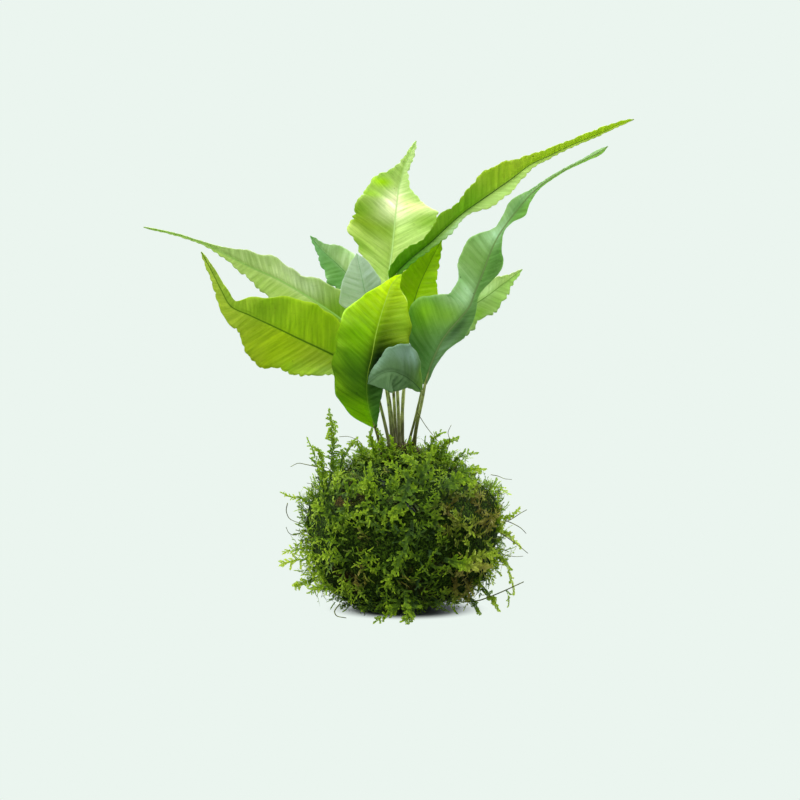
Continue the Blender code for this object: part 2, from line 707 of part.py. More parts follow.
def build_moss(material):
    """Three collar tufts round the crown, six side tufts and the foot, between the loops of the thread."""
    draw = random.Random(SEED)
    corners = crossing_directions()
    for turn in range(3):
        first, second = corners[turn], corners[(turn + 1) % 3]
        third = corners[(turn + 2) % 3]
        planes = [unit(np.cross([0, 0, 1], first)), unit(np.cross(second, [0, 0, 1])), third]
        nets = [collar_net(turn, *COLLAR_CELLS, inset) for inset in (TOP_INSET, THREAD_INSET)]
        roots = collar_net(turn, *COLLAR_SHOOTS, THREAD_INSET)[0]
        build_tuft(f"moss_collar_{turn + 1}", *nets, roots, planes, draw, material)
    signs = [(a, b, c) for a in (1, -1) for b in (1, -1) for c in (1, -1)]
    sides = [sign for sign in signs if abs(sum(sign)) == 1]
    named = [(f"moss_side_{number}", sign) for number, sign in enumerate(sides, 1)]
    for name, sign in named + [("moss_foot", (-1, -1, -1))]:
        planes = [s * corner for s, corner in zip(sign, corners)]
        nets = [triangle_net(tuft_corners(planes, inset), TUFT_ROWS) for inset in (TOP_INSET, THREAD_INSET)]
        roots = triangle_net(tuft_corners(planes, THREAD_INSET), SHOOT_ROWS)[0]
        build_tuft(name, *nets, roots, planes, draw, material)


# Rhizome: the creeping stem on top of the core, with a leaf cushion under each stalk and roots over the core
def core_height(x, y, lift=0.0):
    """How high the core's top is at this place, or this far out from it."""
    share = math.hypot(x, y) / (CORE_RADIUS + lift)
    half_height = CORE_HALF_HEIGHT + lift
    return BALL_CENTRE[2] + half_height * (1 - share**SQUARENESS) ** (1 / SQUARENESS)


def rhizome_rows(count):
    """Centre line and radii of the rhizome, lying on the core."""
    flat = [(x, y, 0.0, radius) for x, y, radius in RHIZOME_AXIS]
    rows = along(flat, np.linspace(0, 1, count))
    places = [(x, y, core_height(x, y) + GAP + radius) for x, y, _, radius in rows]
    return np.array(places), rows[:, 3]


def root_path(place, bearing, near, far):
    """A root that leaves the rhizome under its flank and runs over the core from one distance to another."""
    outward = np.array([math.cos(bearing), math.sin(bearing)])
    flat = [place[:2], (place[:2] + near * outward) / 2]
    flat += [distance * outward for distance in np.linspace(near, far, 4)]
    lift = GAP + ROOT_RADIUS[0] + PRESS_AIR
    return [(x, y, core_height(x, y, lift)) for x, y in flat]


def build_rhizome(material):
    """The rhizome, its leaf cushions and its roots, fused in one piece."""
    places, radii = rhizome_rows(RHIZOME_STATIONS)
    radii[1::2] *= RHIZOME_WAIST
    body = tube_mesh("rhizome", places, radii, 1)
    repeats = []
    for frond in FRONDS.values():
        stalk = np.array(frond["stalk"])
        rise = unit(stalk[1] - stalk[0])
        top = stalk[0] - rise * GAP
        ends = [top - rise * CUSHION_LENGTH, top]
        repeats.append(tube_mesh("cushion", ends, CUSHION_RADIUS, 1))
    paths = []
    for row, bearing_deg in ROOTS:
        bearing = math.radians(bearing_deg)
        near, far = (share * crown_radius(bearing) for share in ROOT_SPAN)
        paths.append(root_path(places[row], bearing, near, far))
    for turn, row in enumerate(LONG_ROOTS):
        bearing = math.radians(FIRST_CROSSING_DEG + 120 * ((turn + 1) % 3))
        near = LONG_ROOT_START * crown_radius(bearing)
        paths.append(root_path(places[row], bearing, near, LONG_ROOT_REACH))
    for path in paths:
        repeats.append(tube_mesh("root", path, np.linspace(*ROOT_RADIUS, len(path)), 0))
    made = fuse("rhizome", body, repeats, material)
    shade(made.data, ROUND_DEG)
    return made


# Fronds: a wiry stalk and a thin blade with a ruffled, toothed margin and a drawn-out tip
def blade_point(row, side, front, column, fold_deg, wave):
    """A point of the blade this far across from the midrib, in millimetres."""
    half = row[3] if column > 0 else row[4]
    fold = math.radians(fold_deg[0] if column > 0 else fold_deg[1])
    out = math.copysign(1.0, column) * math.cos(fold) * side + math.sin(fold) * front
    return row[:3] + abs(column) * half * out + wave * column**2 * front


def build_blade(name, frond, material):
    """A blade: a net of points over its surface, given its thickness, thicker at the midrib."""
    stations = max(12, 2 * round(length_of(frond["rib"]) / STATION_LENGTH / 2))
    shares = np.linspace(0, 1, stations + 1)
    rows = along(frond["rib"], shares)
    rows[:, 3:] = np.maximum(rows[:, 3:], LEAST_HALF_WIDTH)
    tangent = unit(np.gradient(rows[:, :3], axis=0))
    side = unit(np.cross(tangent, AWAY))
    front = np.cross(tangent, side)
    height, waves, phase = frond["ruffle"]
    form = bmesh.new()
    bmesh.ops.create_grid(form, x_segments=stations, y_segments=len(BLADE_COLUMNS) - 1, size=1.0)
    form.verts.ensure_lookup_table()
    ordered = sorted(form.verts, key=lambda vert: (round(vert.co.x, 5), round(vert.co.y, 5)))
    for number, vert in enumerate(ordered):
        station, place = divmod(number, len(BLADE_COLUMNS))
        column = BLADE_COLUMNS[place]
        row = rows[station].copy()
        if abs(column) == 1.0 and 0 < station < stations:
            row[3:] *= 1 + TOOTH_SHARE * (-1) ** station
        swell = min(1.0, (row[3] + row[4]) / RUFFLED_WIDTH)
        lag = RUFFLE_LAG if column < 0 else 0.0
        wave = height * swell * math.sin(2 * math.pi * waves * shares[station] + phase + lag)
        point = blade_point(row, side[station], front[station], column, frond["fold"], wave)
        vert.co = point * MM
    bmesh.ops.triangulate(form, faces=form.faces)
    mesh = bpy.data.meshes.new(name)
    form.verts.index_update()
    on_rib = [vert.index for number, vert in enumerate(ordered) if number % len(BLADE_COLUMNS) == 2]
    form.to_mesh(mesh)
    form.free()
    made = add_object(name, mesh, material)
    rib = made.vertex_groups.new(name="rib")
    rib.add(on_rib, 1.0, "REPLACE")
    thickness = made.modifiers.new("thickness", "SOLIDIFY")
    thickness.thickness = BLADE_THICKNESS * MM
    thickness.offset = 0.0
    thickness.vertex_group = "rib"
    thickness.thickness_vertex_group = MARGIN_SHARE
    shade(mesh, ROUND_DEG)
    return made


def build_stalk(name, frond, material):
    """A stalk from its leaf cushion to just short of the blade."""
    whole = length_of(frond["stalk"])
    end_share = 1 - BLADE_CLEARANCE / whole
    count = max(4, round(whole / STALK_STATION) + 1)
    rows = along(frond["stalk"], np.linspace(0, end_share, count))
    radii = np.linspace(*STALK_RADIUS, count)
    return tube(name, rows, radii, 1, material)


def build():
    """Everything, from the core out."""
    clear_scene()
    core = finish("coir", (0.05, 0.032, 0.018), 0.95)
    thread = finish("thread", (0.02, 0.07, 0.07), 0.4)
    moss = finish("moss", (0.09, 0.19, 0.02), 0.8)
    rhizome = finish("rhizome", (0.07, 0.055, 0.02), 0.75)
    stalk = finish("stalk", (0.119, 0.147, 0.033), 0.5)
    leaves = {name: finish(name, colour, 0.4) for name, colour in LEAF_COLOURS.items()}
    build_core(core)
    build_thread(thread)
    build_moss(moss)
    build_rhizome(rhizome)
    for name, frond in FRONDS.items():
        build_stalk(f"frond_{name}_stalk", frond, stalk)
        build_blade(f"frond_{name}_blade", frond, leaves[frond["leaf"]])


build()
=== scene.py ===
import math
import random

import bmesh
import bpy
import numpy as np
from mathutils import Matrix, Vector, noise


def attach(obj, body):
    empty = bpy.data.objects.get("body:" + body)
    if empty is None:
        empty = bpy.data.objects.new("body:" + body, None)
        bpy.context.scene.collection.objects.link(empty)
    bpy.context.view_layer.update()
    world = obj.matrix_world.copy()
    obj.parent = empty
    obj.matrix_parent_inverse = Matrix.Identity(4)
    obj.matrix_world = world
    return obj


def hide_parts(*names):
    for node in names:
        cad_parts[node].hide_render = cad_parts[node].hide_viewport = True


# A fern that grows on a moss ball, built up from the inside: coir core, moss, thread, rhizome, fronds,
# studio. Sizes are in millimetres and MM turns them into metres.

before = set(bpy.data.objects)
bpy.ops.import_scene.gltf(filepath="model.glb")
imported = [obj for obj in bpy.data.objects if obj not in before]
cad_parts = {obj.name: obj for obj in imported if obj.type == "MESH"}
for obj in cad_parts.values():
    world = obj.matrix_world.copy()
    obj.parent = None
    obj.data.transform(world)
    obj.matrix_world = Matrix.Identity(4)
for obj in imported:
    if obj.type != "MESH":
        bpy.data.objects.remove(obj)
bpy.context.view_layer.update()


# Coir core: coconut fibre pressed into a ball with a flattened top and bottom. The moss hides all of it but
# the top, where the rhizome lies. Its CAD node stays, with a fibrous brown finish.
MM = 0.001


def seen(red, green, blue):
    """A colour as the eye reads it, 0 to 255, in the linear numbers that a shader takes."""
    shares = (value / 255 for value in (red, green, blue))
    return tuple(share / 12.92 if share < 0.04 else ((share + 0.055) / 1.055) ** 2.4 for share in shares)


def put(tree, kind, feeds, **settings):
    """Adds a node to a material or a group. Feeds gives each socket a value, or the socket that it reads."""
    made = tree.nodes.new(kind)
    for name, value in settings.items():
        setattr(made, name, value)
    for socket, value in feeds.items():
        if isinstance(value, bpy.types.NodeSocket):
            tree.links.new(value, made.inputs[socket])
        else:
            made.inputs[socket].default_value = value
    return made


def ramp(tree, share, stops):
    """Colours that run from one stop to the next as the share grows."""
    made = put(tree, "ShaderNodeValToRGB", {"Fac": share})
    bar = made.color_ramp.elements
    bar[0].position, bar[1].position = stops[0][0], stops[-1][0]
    bar[0].color, bar[1].color = (*stops[0][1], 1.0), (*stops[-1][1], 1.0)
    for place, colour in stops[1:-1]:
        bar.new(place).color = (*colour, 1.0)
    return made.outputs["Color"]


def blend(tree, share, first, second, way="MIX"):
    """The first colour, turned by this share into the second or into what the way makes of both."""
    feeds = {}
    for socket, value in ((0, share), (6, first), (7, second)):
        feeds[socket] = (*value, 1.0) if isinstance(value, tuple) else value
    return put(tree, "ShaderNodeMix", feeds, data_type="RGBA", blend_type=way).outputs[2]


def material(name):
    """An empty material, its nodes, and its output."""
    made = bpy.data.materials.new(name)
    made.use_nodes = True
    made.node_tree.nodes.clear()
    return made, made.node_tree, put(made.node_tree, "ShaderNodeOutputMaterial", {})


def place_in(tree):
    """Where on the plant a point is, in metres."""
    return put(tree, "ShaderNodeTexCoord", {}).outputs["Object"]


def grain_group():
    """The grain in every finish of the plant: a cloudy pattern from 0 to 1, and the relief that it makes."""
    group = bpy.data.node_groups.new("natural_grain", "ShaderNodeTree")
    group.interface.new_socket("Vector", in_out="INPUT", socket_type="NodeSocketVector")
    for label in ("Scale", "Detail", "Roughness", "Strength", "Depth"):
        group.interface.new_socket(label, in_out="INPUT", socket_type="NodeSocketFloat")
    group.interface.new_socket("Pattern", in_out="OUTPUT", socket_type="NodeSocketFloat")
    group.interface.new_socket("Normal", in_out="OUTPUT", socket_type="NodeSocketVector")
    given = put(group, "NodeGroupInput", {}).outputs
    feeds = {label: given[label] for label in ("Vector", "Scale", "Detail", "Roughness")}
    pattern = put(group, "ShaderNodeTexNoise", feeds).outputs["Fac"]
    feeds = {"Height": pattern, "Strength": given["Strength"], "Distance": given["Depth"]}
    relief = put(group, "ShaderNodeBump", feeds)
    put(group, "NodeGroupOutput", {"Pattern": pattern, "Normal": relief.outputs[0]})
    return group


GRAIN = grain_group()


def grain(tree, vector, scale, detail=3.0, roughness=0.55, strength=0.0, depth=0.0):
    """The grain placed in a material, its relief this strong and deep: its pattern and its normal."""
    feeds = {"Vector": vector, "Scale": scale, "Detail": detail, "Roughness": roughness}
    feeds.update({"Strength": strength, "Depth": depth * MM})
    made = put(tree, "ShaderNodeGroup", feeds, node_tree=GRAIN)
    return made.outputs["Pattern"], made.outputs["Normal"]


def coat(tree, output, colour, roughness, normal, shine=0.5):
    """Gives the material a solid surface. Shine is how strongly it mirrors."""
    feeds = {"Base Color": colour, "Roughness": roughness, "Specular IOR Level": shine, "Normal": normal}
    shader = put(tree, "ShaderNodeBsdfPrincipled", feeds)
    tree.links.new(shader.outputs[0], output.inputs[0])


coir, tree, output = material("pressed_coir")
place = place_in(tree)
warp = put(tree, "ShaderNodeTexNoise", {"Vector": place, "Scale": 130.0}).outputs["Color"]
tangle = blend(tree, 0.012, place, warp)
drawn_out = {"Vector": tangle, "Scale": (3.0, 0.6, 1.0), "Rotation": (0.4, 0.2, 0.7)}
strands = put(tree, "ShaderNodeMapping", drawn_out)
fibres, relief = grain(tree, strands.outputs[0], 900.0, 4.0, 0.7, strength=0.9, depth=0.6)
colour = ramp(tree, fibres, [(0.3, seen(24, 15, 9)), (0.5, seen(70, 48, 28)), (0.72, seen(128, 96, 60))])
coat(tree, output, colour, 0.92, relief, shine=0.1)
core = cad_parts["substrate_core"].data
core.materials.clear()
core.materials.append(coir)


# Old moss: the felt of dead moss between the core and the living shoots, brownish, and dark with painted
# shade of the hollows under the shoots. It is one closed skin that sinks into the core round the rhizome,
# where the top is left bare.
BALL_CENTRE = np.array((0.0, 0.0, 26.5))
CORE_SIZE = (28.5, 22.5)  # its radius and half its height
SQUARENESS = 2.4  # exponent of its profile: 2 is an ellipse, more is a flatter top and bottom
CROWN = (15.0, 10.8)  # half length and half width of the bare oval round the rhizome
FELT_LIFT = 3.2  # how far out from the core the felt is
SHOULDER_LIFT = 1.1  # and how far where the ball rounds over to its top
SHOULDER = (0.62, 0.2)  # the height of a direction to that place, and how broad the place is
CLUMP = 13.0  # across a lump of the felt
CLUMP_RELIEF = 1.7  # how much the lumps stand out
TANGLE = (9.0, 0.8)  # how fine the felt's tangle is, and how far it stands out
CROWN_SINK = 1.5  # how far the felt goes into the core in the bare oval
CROWN_FADE = (1.15, 0.3)  # where it starts to sink, as a share of the oval, and over how much
GROUND = 0.12  # the lowest point of felt and thread


def unit(vectors):
    """The vectors at length one."""
    return vectors / np.maximum(np.linalg.norm(vectors, axis=-1, keepdims=True), 1e-9)


def over_core(directions, lift):
    """Points this far out from the core, and the directions square to it there."""
    directions = np.atleast_2d(directions)
    radius, height = CORE_SIZE[0] + lift, CORE_SIZE[1] + lift
    across = np.maximum(np.hypot(directions[:, 0], directions[:, 1]), 1e-6)
    wide, tall = (across / radius) ** SQUARENESS, (abs(directions[:, 2]) / height) ** SQUARENESS
    reach = (wide + tall) ** (-1 / SQUARENESS)
    places = BALL_CENTRE + directions * reach[:, None]
    level = (across * reach / radius) ** (SQUARENESS - 1) / radius
    climb = (abs(directions[:, 2]) * reach / height) ** (SQUARENESS - 1)
    upright = np.sign(directions[:, 2]) * climb / height
    outward = np.column_stack([directions[:, :2] / across[:, None] * level[:, None], upright])
    return places, unit(outward)


def crown_share(places):
    """How far out from the rhizome a place on top of the ball is: 1 on the edge of the bare oval."""
    return np.hypot(places[:, 0] / CROWN[0], places[:, 1] / CROWN[1])


def felt_lift(directions):
    """How far out from the core the felt is: lumpy, and thinner where the ball rounds over to its top."""
    places = over_core(directions, 0.0)[0]
    lumps = np.array([noise.noise(Vector(place / CLUMP)) for place in places])
    shoulder = np.exp(-(((directions[:, 2] - SHOULDER[0]) / SHOULDER[1]) ** 2))
    return FELT_LIFT + CLUMP_RELIEF * lumps - (FELT_LIFT - SHOULDER_LIFT) * shoulder


def ride_as(piece, slot, *nodes):
    """The piece stays with the plant and stands for these CAD nodes, which it hides. The slot is not used."""
    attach(piece, "root")
    if nodes:
        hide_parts(*nodes)
    return piece


def mesh_of(form, name, smooth=True):
    """The finished form as a mesh."""
    mesh = bpy.data.meshes.new(name)
    form.to_mesh(mesh)
    form.free()
    if smooth:
        mesh.shade_smooth()
    return mesh


def add_piece(name, mesh, finish):
    """Links a mesh as a named object with one material."""
    mesh.materials.clear()
    mesh.materials.append(finish)
    made = bpy.data.objects.new(name, mesh)
    bpy.context.scene.collection.objects.link(made)
    return made


form = bmesh.new()
bmesh.ops.create_icosphere(form, subdivisions=5, radius=1.0)
points = np.array([corner.co for corner in form.verts])
tangled = np.array([noise.fractal(Vector(point) * TANGLE[0], 1.0, 2.0, 3) for point in points])
places = over_core(unit(points), 0.0)[0]
bare = np.clip((CROWN_FADE[0] - crown_share(places)) / CROWN_FADE[1], 0, 1) * (points[:, 2] > 0)
lift = (felt_lift(unit(points)) + TANGLE[1] * tangled) * (1 - bare) - CROWN_SINK * bare
for corner, direction, height in zip(form.verts, points, lift):
    spot = over_core(unit(direction), height)[0][0]
    spot[2] = max(spot[2], GROUND)
    corner.co = spot * MM
bmesh.ops.recalc_face_normals(form, faces=form.faces)
mesh = mesh_of(form, "moss_felt")

felt, tree, output = material("old_moss_painted_shade")
place = place_in(tree)
patches = grain(tree, place, 90.0)[0]
threads, relief = grain(tree, place, 1400.0, 3.0, 0.8, strength=1.0, depth=1.0)
# The darkest stops of both ramps are painted shade, deep under the shoots.
greens = ramp(tree, threads, [(0.35, seen(6, 12, 3)), (0.5, seen(26, 44, 8)), (0.62, seen(70, 98, 20))])
browns = ramp(tree, threads, [(0.35, seen(10, 9, 4)), (0.5, seen(44, 38, 14)), (0.62, seen(96, 82, 34))])
colour = blend(tree, ramp(tree, patches, [(0.56, (0, 0, 0)), (0.68, (1, 1, 1))]), greens, browns)
coat(tree, output, colour, 0.9, relief, shine=0.05)
ride_as(add_piece("moss_felt", mesh, felt), "moss")


# Binding thread: a dark teal cotton thread wound three ways round the ball, which holds the moss on. It is
# pressed into the felt and shows only where the shoots part.
THREAD_RADIUS = 0.33
THREAD_TURNS = (-0.012, 0.016)  # how far aside each turn of a loop lies, as a share of the ball
THREAD_STATIONS = 180
THREAD_SINK = 0.9  # below the felt's surface
THREAD_WANDER = 0.35  # how much it rises and sinks on its way round
FIRST_CROSSING_DEG = 19.0  # where round the ball the first upper crossing lies
CROSSING_POLAR = math.acos(1 / math.sqrt(3))  # three loops at right angles cross this far from the top
THREAD_SEEN = np.array((0.02, -0.945, 0.33))  # the way to the place where it comes up between the shoots
SEEN_LIFT = 2.9  # how much further out it lies there
crossings = [
    np.array(
        (
            math.sin(CROSSING_POLAR) * math.cos(math.radians(FIRST_CROSSING_DEG + 120 * turn)),
            math.sin(CROSSING_POLAR) * math.sin(math.radians(FIRST_CROSSING_DEG + 120 * turn)),
            math.cos(CROSSING_POLAR),
        )
    )
    for turn in range(3)
]


def evaluated(made):
    """The mesh of an object with its modifiers applied; the object goes."""
    graph = bpy.context.evaluated_depsgraph_get()
    mesh = bpy.data.meshes.new_from_object(made.evaluated_get(graph))
    bpy.data.objects.remove(made, do_unlink=True)
    return mesh


def round_bars(name, lines, sides, closed=False):
    """A mesh of round bars along lines of x, y, z and radius, with welded seams and closed ends."""
    curve = bpy.data.curves.new(name, "CURVE")
    curve.dimensions = "3D"
    curve.bevel_depth = MM
    curve.bevel_resolution = sides // 2 - 2
    curve.use_fill_caps = True
    for line in lines:
        spline = curve.splines.new("POLY")
        spline.points.add(len(line) - 1)
        spline.use_cyclic_u = closed
        for point, (x, y, z, radius) in zip(spline.points, line):
            point.co = (x * MM, y * MM, z * MM, 1.0)
            point.radius = radius
    made = bpy.data.objects.new(name, curve)
    bpy.context.scene.collection.objects.link(made)
    mesh = evaluated(made)
    bpy.data.curves.remove(curve)
    form = bmesh.new()
    form.from_mesh(mesh)
    bmesh.ops.remove_doubles(form, verts=form.verts, dist=0.0005 * MM)
    bmesh.ops.recalc_face_normals(form, faces=form.faces)
    form.to_mesh(mesh)
    form.free()
    mesh.shade_smooth()
    return mesh


lines = []
for turn in range(3):
    for aside in THREAD_TURNS:
        angles = np.linspace(0, 2 * math.pi, THREAD_STATIONS, endpoint=False)
        first, second = crossings[turn], crossings[(turn + 1) % 3]
        round_ball = np.outer(np.cos(angles), first) + np.outer(np.sin(angles), second)
        round_ball += aside * np.cross(first, second)
        wander = felt_lift(unit(round_ball)) - THREAD_SINK + THREAD_WANDER * np.sin(5 * angles + turn)
        off_seen = ((unit(round_ball) - THREAD_SEEN) ** 2).sum(1)
        wander += SEEN_LIFT * np.exp(-(off_seen / 0.012))
        rows = np.array([over_core(unit(way), lift)[0][0] for way, lift in zip(round_ball, wander)])
        rows[:, 2] = np.maximum(rows[:, 2], GROUND + THREAD_RADIUS)
        lines.append(np.column_stack([rows, np.full(len(rows), THREAD_RADIUS)]))
mesh = round_bars("binding_thread_wound", lines, 6, closed=True)

cotton, tree, output = material("wound_cotton")
plies, relief = grain(tree, place_in(tree), 2600.0, 2.0, strength=0.6, depth=0.1)
colour = ramp(tree, plies, [(0.35, seen(6, 16, 20)), (0.7, seen(18, 38, 44))])
coat(tree, output, colour, 0.55, relief)
ride_as(add_piece("binding_thread_wound", mesh, cotton), "thread", "binding_thread")


# Living moss: feathery shoots that root in the felt, arch out over the ball and branch to both sides, each
# stem and branch set with small pointed leaves. One piece for each tuft between the turns of thread.
TWIG_PAIRS = 6  # of leaves
TWIG_LEAF = 0.26  # how long a leaf is on a twig one long
TWIG_LEAF_WIDTH = 0.25  # and how broad on a twig one wide
TWIG_STEM = 0.026  # radius of the twig's stem
TWIG_SPAN = 2.1  # the most that a twig is scaled across, before its slimness
TWIG_SLIMNESS = (0.42, 1.05)  # from a drawn-out shoot to a plump one
TWIG_OVERLAP = 1.12  # how much longer a twig is than its part of the stem
TWIG_BEND = (0.03, 0.2)  # the mean and the spread of how far its tip bends aside
BRANCH_STRAY = 0.36  # how much a side branch leaves its even slant
CLEAR_PLUMPNESS = 1.7  # shoots that stand clear are plumper by this factor
CLEAR_STATIONS = 9
BRANCH_SPACING = 0.95  # between the side branches of a shoot that stands clear
STEM_PART = 3.2  # for each twig of its stem
MAIN_SHOOTS = 590
SMALL_SHOOTS = 1080
CROWN_SHOOTS = 120
CROWN_SHARE = 0.95  # inside this share of the bare oval no shoot of the ball roots
LOWEST_TWIG = 0.7  # the lowest that a twig's centre line runs
LOWEST_LEAF = 0.03
SOLE_RADIUS = 15.0  # of the flat underside, where no shoot roots
BALL_HALF = 26.0  # half the height of the ball with its moss
HANG_BELOW = 24.0  # under this height the shoots lean down, and above it up
LEAN_UP, LEAN_DOWN = 0.9, -0.35
TRIMMED = (8.0, 34.0, 0.75)  # right of and above this the shoots are shorter, by this factor
LOW_SHOOTS = (6.0, 0.45)  # under this height they rise less, by this factor
CLOUD = 9.0  # across a lighter or darker cloud of moss
draw = np.random.default_rng(7)


def twig(name):
    """A twig one long along +X: a thin stem with leaves in pairs and one at the tip, each a folded sliver."""
    chance = random.Random(3)
    form = bmesh.new()
    leaf_number = form.verts.layers.float.new("leaf")

    def sliver(corners, number):
        made = [form.verts.new(corner) for corner in corners]
        for corner in made:
            corner[leaf_number] = number
        bmesh.ops.convex_hull(form, input=made)

    third = [(0.0, TWIG_STEM * math.cos(a), TWIG_STEM * math.sin(a)) for a in (0.5, 2.6, 4.7)]
    sliver(third + [(0.92, 0.0, 0.0)], 0)
    for pair in range(TWIG_PAIRS):
        for side in (-1, 1):
            along_stem = (pair + 0.35 + 0.25 * side) / TWIG_PAIRS * 0.88
            yaw = side * math.radians(chance.uniform(42, 64))
            size = TWIG_LEAF * (1.0 - 0.35 * (along_stem - 0.3) ** 2) * chance.uniform(0.8, 1.15)
            heading = Vector((math.cos(yaw), math.sin(yaw), chance.uniform(-0.45, 0.6)))
            across = Vector((-math.sin(yaw), math.cos(yaw), 0.0)) * TWIG_LEAF_WIDTH
            foot = Vector((along_stem, 0.0, 0.0))
            belly = foot + heading * size * 0.55 - Vector((0, 0, 0.03))
            leaf = [foot, belly + across * 0.5, belly - across * 0.5, foot + heading * size]
            sliver(leaf, 2 * pair + side + 2)
    belly = Vector((0.88, 0.0, -0.03))
    tip = [(0.76, 0, 0.0), belly + Vector((0, 0.06, 0)), belly - Vector((0, 0.06, 0)), (1.06, 0.0, 0.03)]
    sliver(tip, 0)
    bmesh.ops.recalc_face_normals(form, faces=form.faces)
    return mesh_of(form, name, smooth=False)


def arching(roots, normals, headings, lengths, rise, level, swing, stations=9):
    """Centre lines of shoots, one step of directions and places at each station."""
    sides = np.cross(normals, headings)
    shares = np.linspace(0, 1, stations)
    steps = []
    for share in shares:
        angle = rise + (level - rise) * share
        turn = swing * share
        flat = np.cos(turn)[:, None] * headings + np.sin(turn)[:, None] * sides
        steps.append(np.cos(angle)[:, None] * flat + np.sin(angle)[:, None] * normals)
    steps = np.array(steps)
    gains = (steps[1:] + steps[:-1]) / 2 * (lengths / (stations - 1))[None, :, None]
    places = roots[None] + np.concatenate([np.zeros_like(roots)[None], np.cumsum(gains, axis=0)])
    return places, steps


def at_share(stations, share):
    """Values between the stations."""
    spot = share * (len(stations) - 1)
    low = min(int(spot), len(stations) - 2)
    return stations[low] + (stations[low + 1] - stations[low]) * (spot - low)


def twigs_on(places, steps, normals, lengths, stem_parts, branches, branch_length, tone, plumpness=1.0):
    """Rows of twigs for shoots: root, direction, up, length, width, lightness at its root and tip, and tone.
    The tip is lighter as fresh moss is, and the root darker with painted shade.
    """
    rows = []
    slim = plumpness * draw.uniform(*TWIG_SLIMNESS, len(lengths))
    for part in range(stem_parts):
        start, end = part / stem_parts, (part + 1) / stem_parts
        begin, finish = at_share(places, start), at_share(places, end)
        way = unit(finish - begin)
        size = np.linalg.norm(finish - begin, axis=1) * TWIG_OVERLAP
        broad = np.minimum(size, TWIG_SPAN * 1.15) * (1.0 - 0.5 * start) * slim
        age_and_painted_shade = np.full(len(size), start), np.full(len(size), end)
        rows.append((begin, way, normals, size, broad, *age_and_painted_shade, tone))
    for number in range(branches):
        share = 0.12 + 0.8 * (number + 0.5) / branches
        side = 1 if number % 2 else -1
        way = at_share(steps, share)
        across = unit(np.cross(normals, way)) * side
        angle = np.radians(draw.uniform(40, 66, len(lengths)))[:, None]
        stray = draw.normal(0, BRANCH_STRAY, way.shape)
        heading = unit(np.cos(angle) * way + np.sin(angle) * across + stray)
        size = branch_length * (1.0 - 0.7 * share**1.5) * draw.uniform(0.75, 1.25, len(lengths))
        broad = np.minimum(size, TWIG_SPAN) * slim
        age_and_painted_shade = np.full(len(size), share), np.full(len(size), min(1.0, share + 0.45))
        rows.append((at_share(places, share), heading, normals, size, broad, *age_and_painted_shade, tone))
    return [np.concatenate(column) for column in zip(*rows)]


def fit_on_ground(origins, ways, sizes):
    """Turns twigs that would go through the ground, so that they lie on it."""
    tips = origins + ways * sizes[:, None]
    deep = tips[:, 2] < LOWEST_TWIG
    ways[deep, 2] = np.maximum(ways[deep, 2], (LOWEST_TWIG - origins[deep, 2]) / sizes[deep])
    origins[:, 2] = np.maximum(origins[:, 2], LOWEST_TWIG)
    return origins, unit(ways)


# Places on the ball where the moss is lighter and darker, and where it has browned: the place, how far it
# reaches, how much lighter, and how brown. Lighter is partly fresher moss and partly painted light, as the
# painted rim light on both sides; darker is partly older moss and partly painted shade.
MOSS_PATCHES = (
    ((-25.0, -15.0, 42.0), 11.0, 0.14, 0.0),
    ((3.0, -22.0, 51.0), 9.0, 0.16, 0.0),
    ((-3.0, -33.0, 4.0), 6.0, 0.35, 0.0),
    ((-36.0, -9.0, 38.0), 6.0, 0.3, 0.0),
    ((-37.0, -9.0, 17.0), 7.0, 0.35, 0.0),
    ((36.0, -7.0, 27.0), 8.0, 0.34, 0.0),
    ((35.0, -8.0, 11.0), 8.0, 0.34, 0.0),
    ((31.0, -13.0, 3.0), 6.0, 0.3, 0.0),
    ((28.0, -8.0, 44.0), 8.0, 0.25, 0.0),
    ((-26.0, -6.0, 55.0), 12.0, 0.1, 0.0),
    ((-10.0, -9.0, 58.0), 9.0, 0.3, 0.0),
    ((14.0, -9.0, 57.0), 9.0, 0.2, 0.0),
    ((-20.0, -22.0, 16.0), 14.0, 0.4, 0.0),
    ((26.0, -20.0, 26.0), 15.0, 0.28, 0.0),
    ((-1.0, -30.0, 30.0), 12.0, 0.06, 0.0),
    ((21.0, -26.0, 20.0), 7.0, 0.26, 0.0),
    ((31.0, -6.0, 30.0), 10.0, 0.2, 0.0),
    ((-31.0, -8.0, 18.0), 9.0, 0.22, 0.0),
    ((24.0, -14.0, 46.0), 8.0, 0.14, 0.0),
    ((6.0, -32.0, 31.0), 8.0, -0.24, 0.0),
    ((0.0, -30.0, 11.0), 13.0, -0.14, 0.0),
    ((27.5, -18.0, 35.0), 8.5, 0.05, 1.0),
    ((16.0, -28.0, 33.0), 7.0, 0.0, 0.6),
    ((22.0, -25.0, 14.0), 10.0, 0.04, 0.6),
    ((-15.8, -20.0, 49.0), 4.0, -0.1, 0.9),
    ((-5.5, -21.0, 50.0), 3.2, -0.1, 0.9),
    ((-14.5, -27.0, 15.0), 5.0, -0.1, 0.8),
    ((-12.0, -30.0, 27.0), 4.0, 0.0, 0.6),
    ((0.6, -32.0, 15.0), 3.2, 0.0, 0.9),
    ((23.0, -24.0, 12.0), 8.0, 0.0, 0.6),
    ((-20.0, 22.0, 34.0), 8.0, 0.1, 0.8),
    ((18.0, 26.0, 20.0), 9.0, -0.1, 0.7),
    ((4.0, 28.0, 44.0), 9.0, 0.22, 0.0),
    ((30.0, 12.0, 38.0), 8.0, 0.2, 0.0),
)


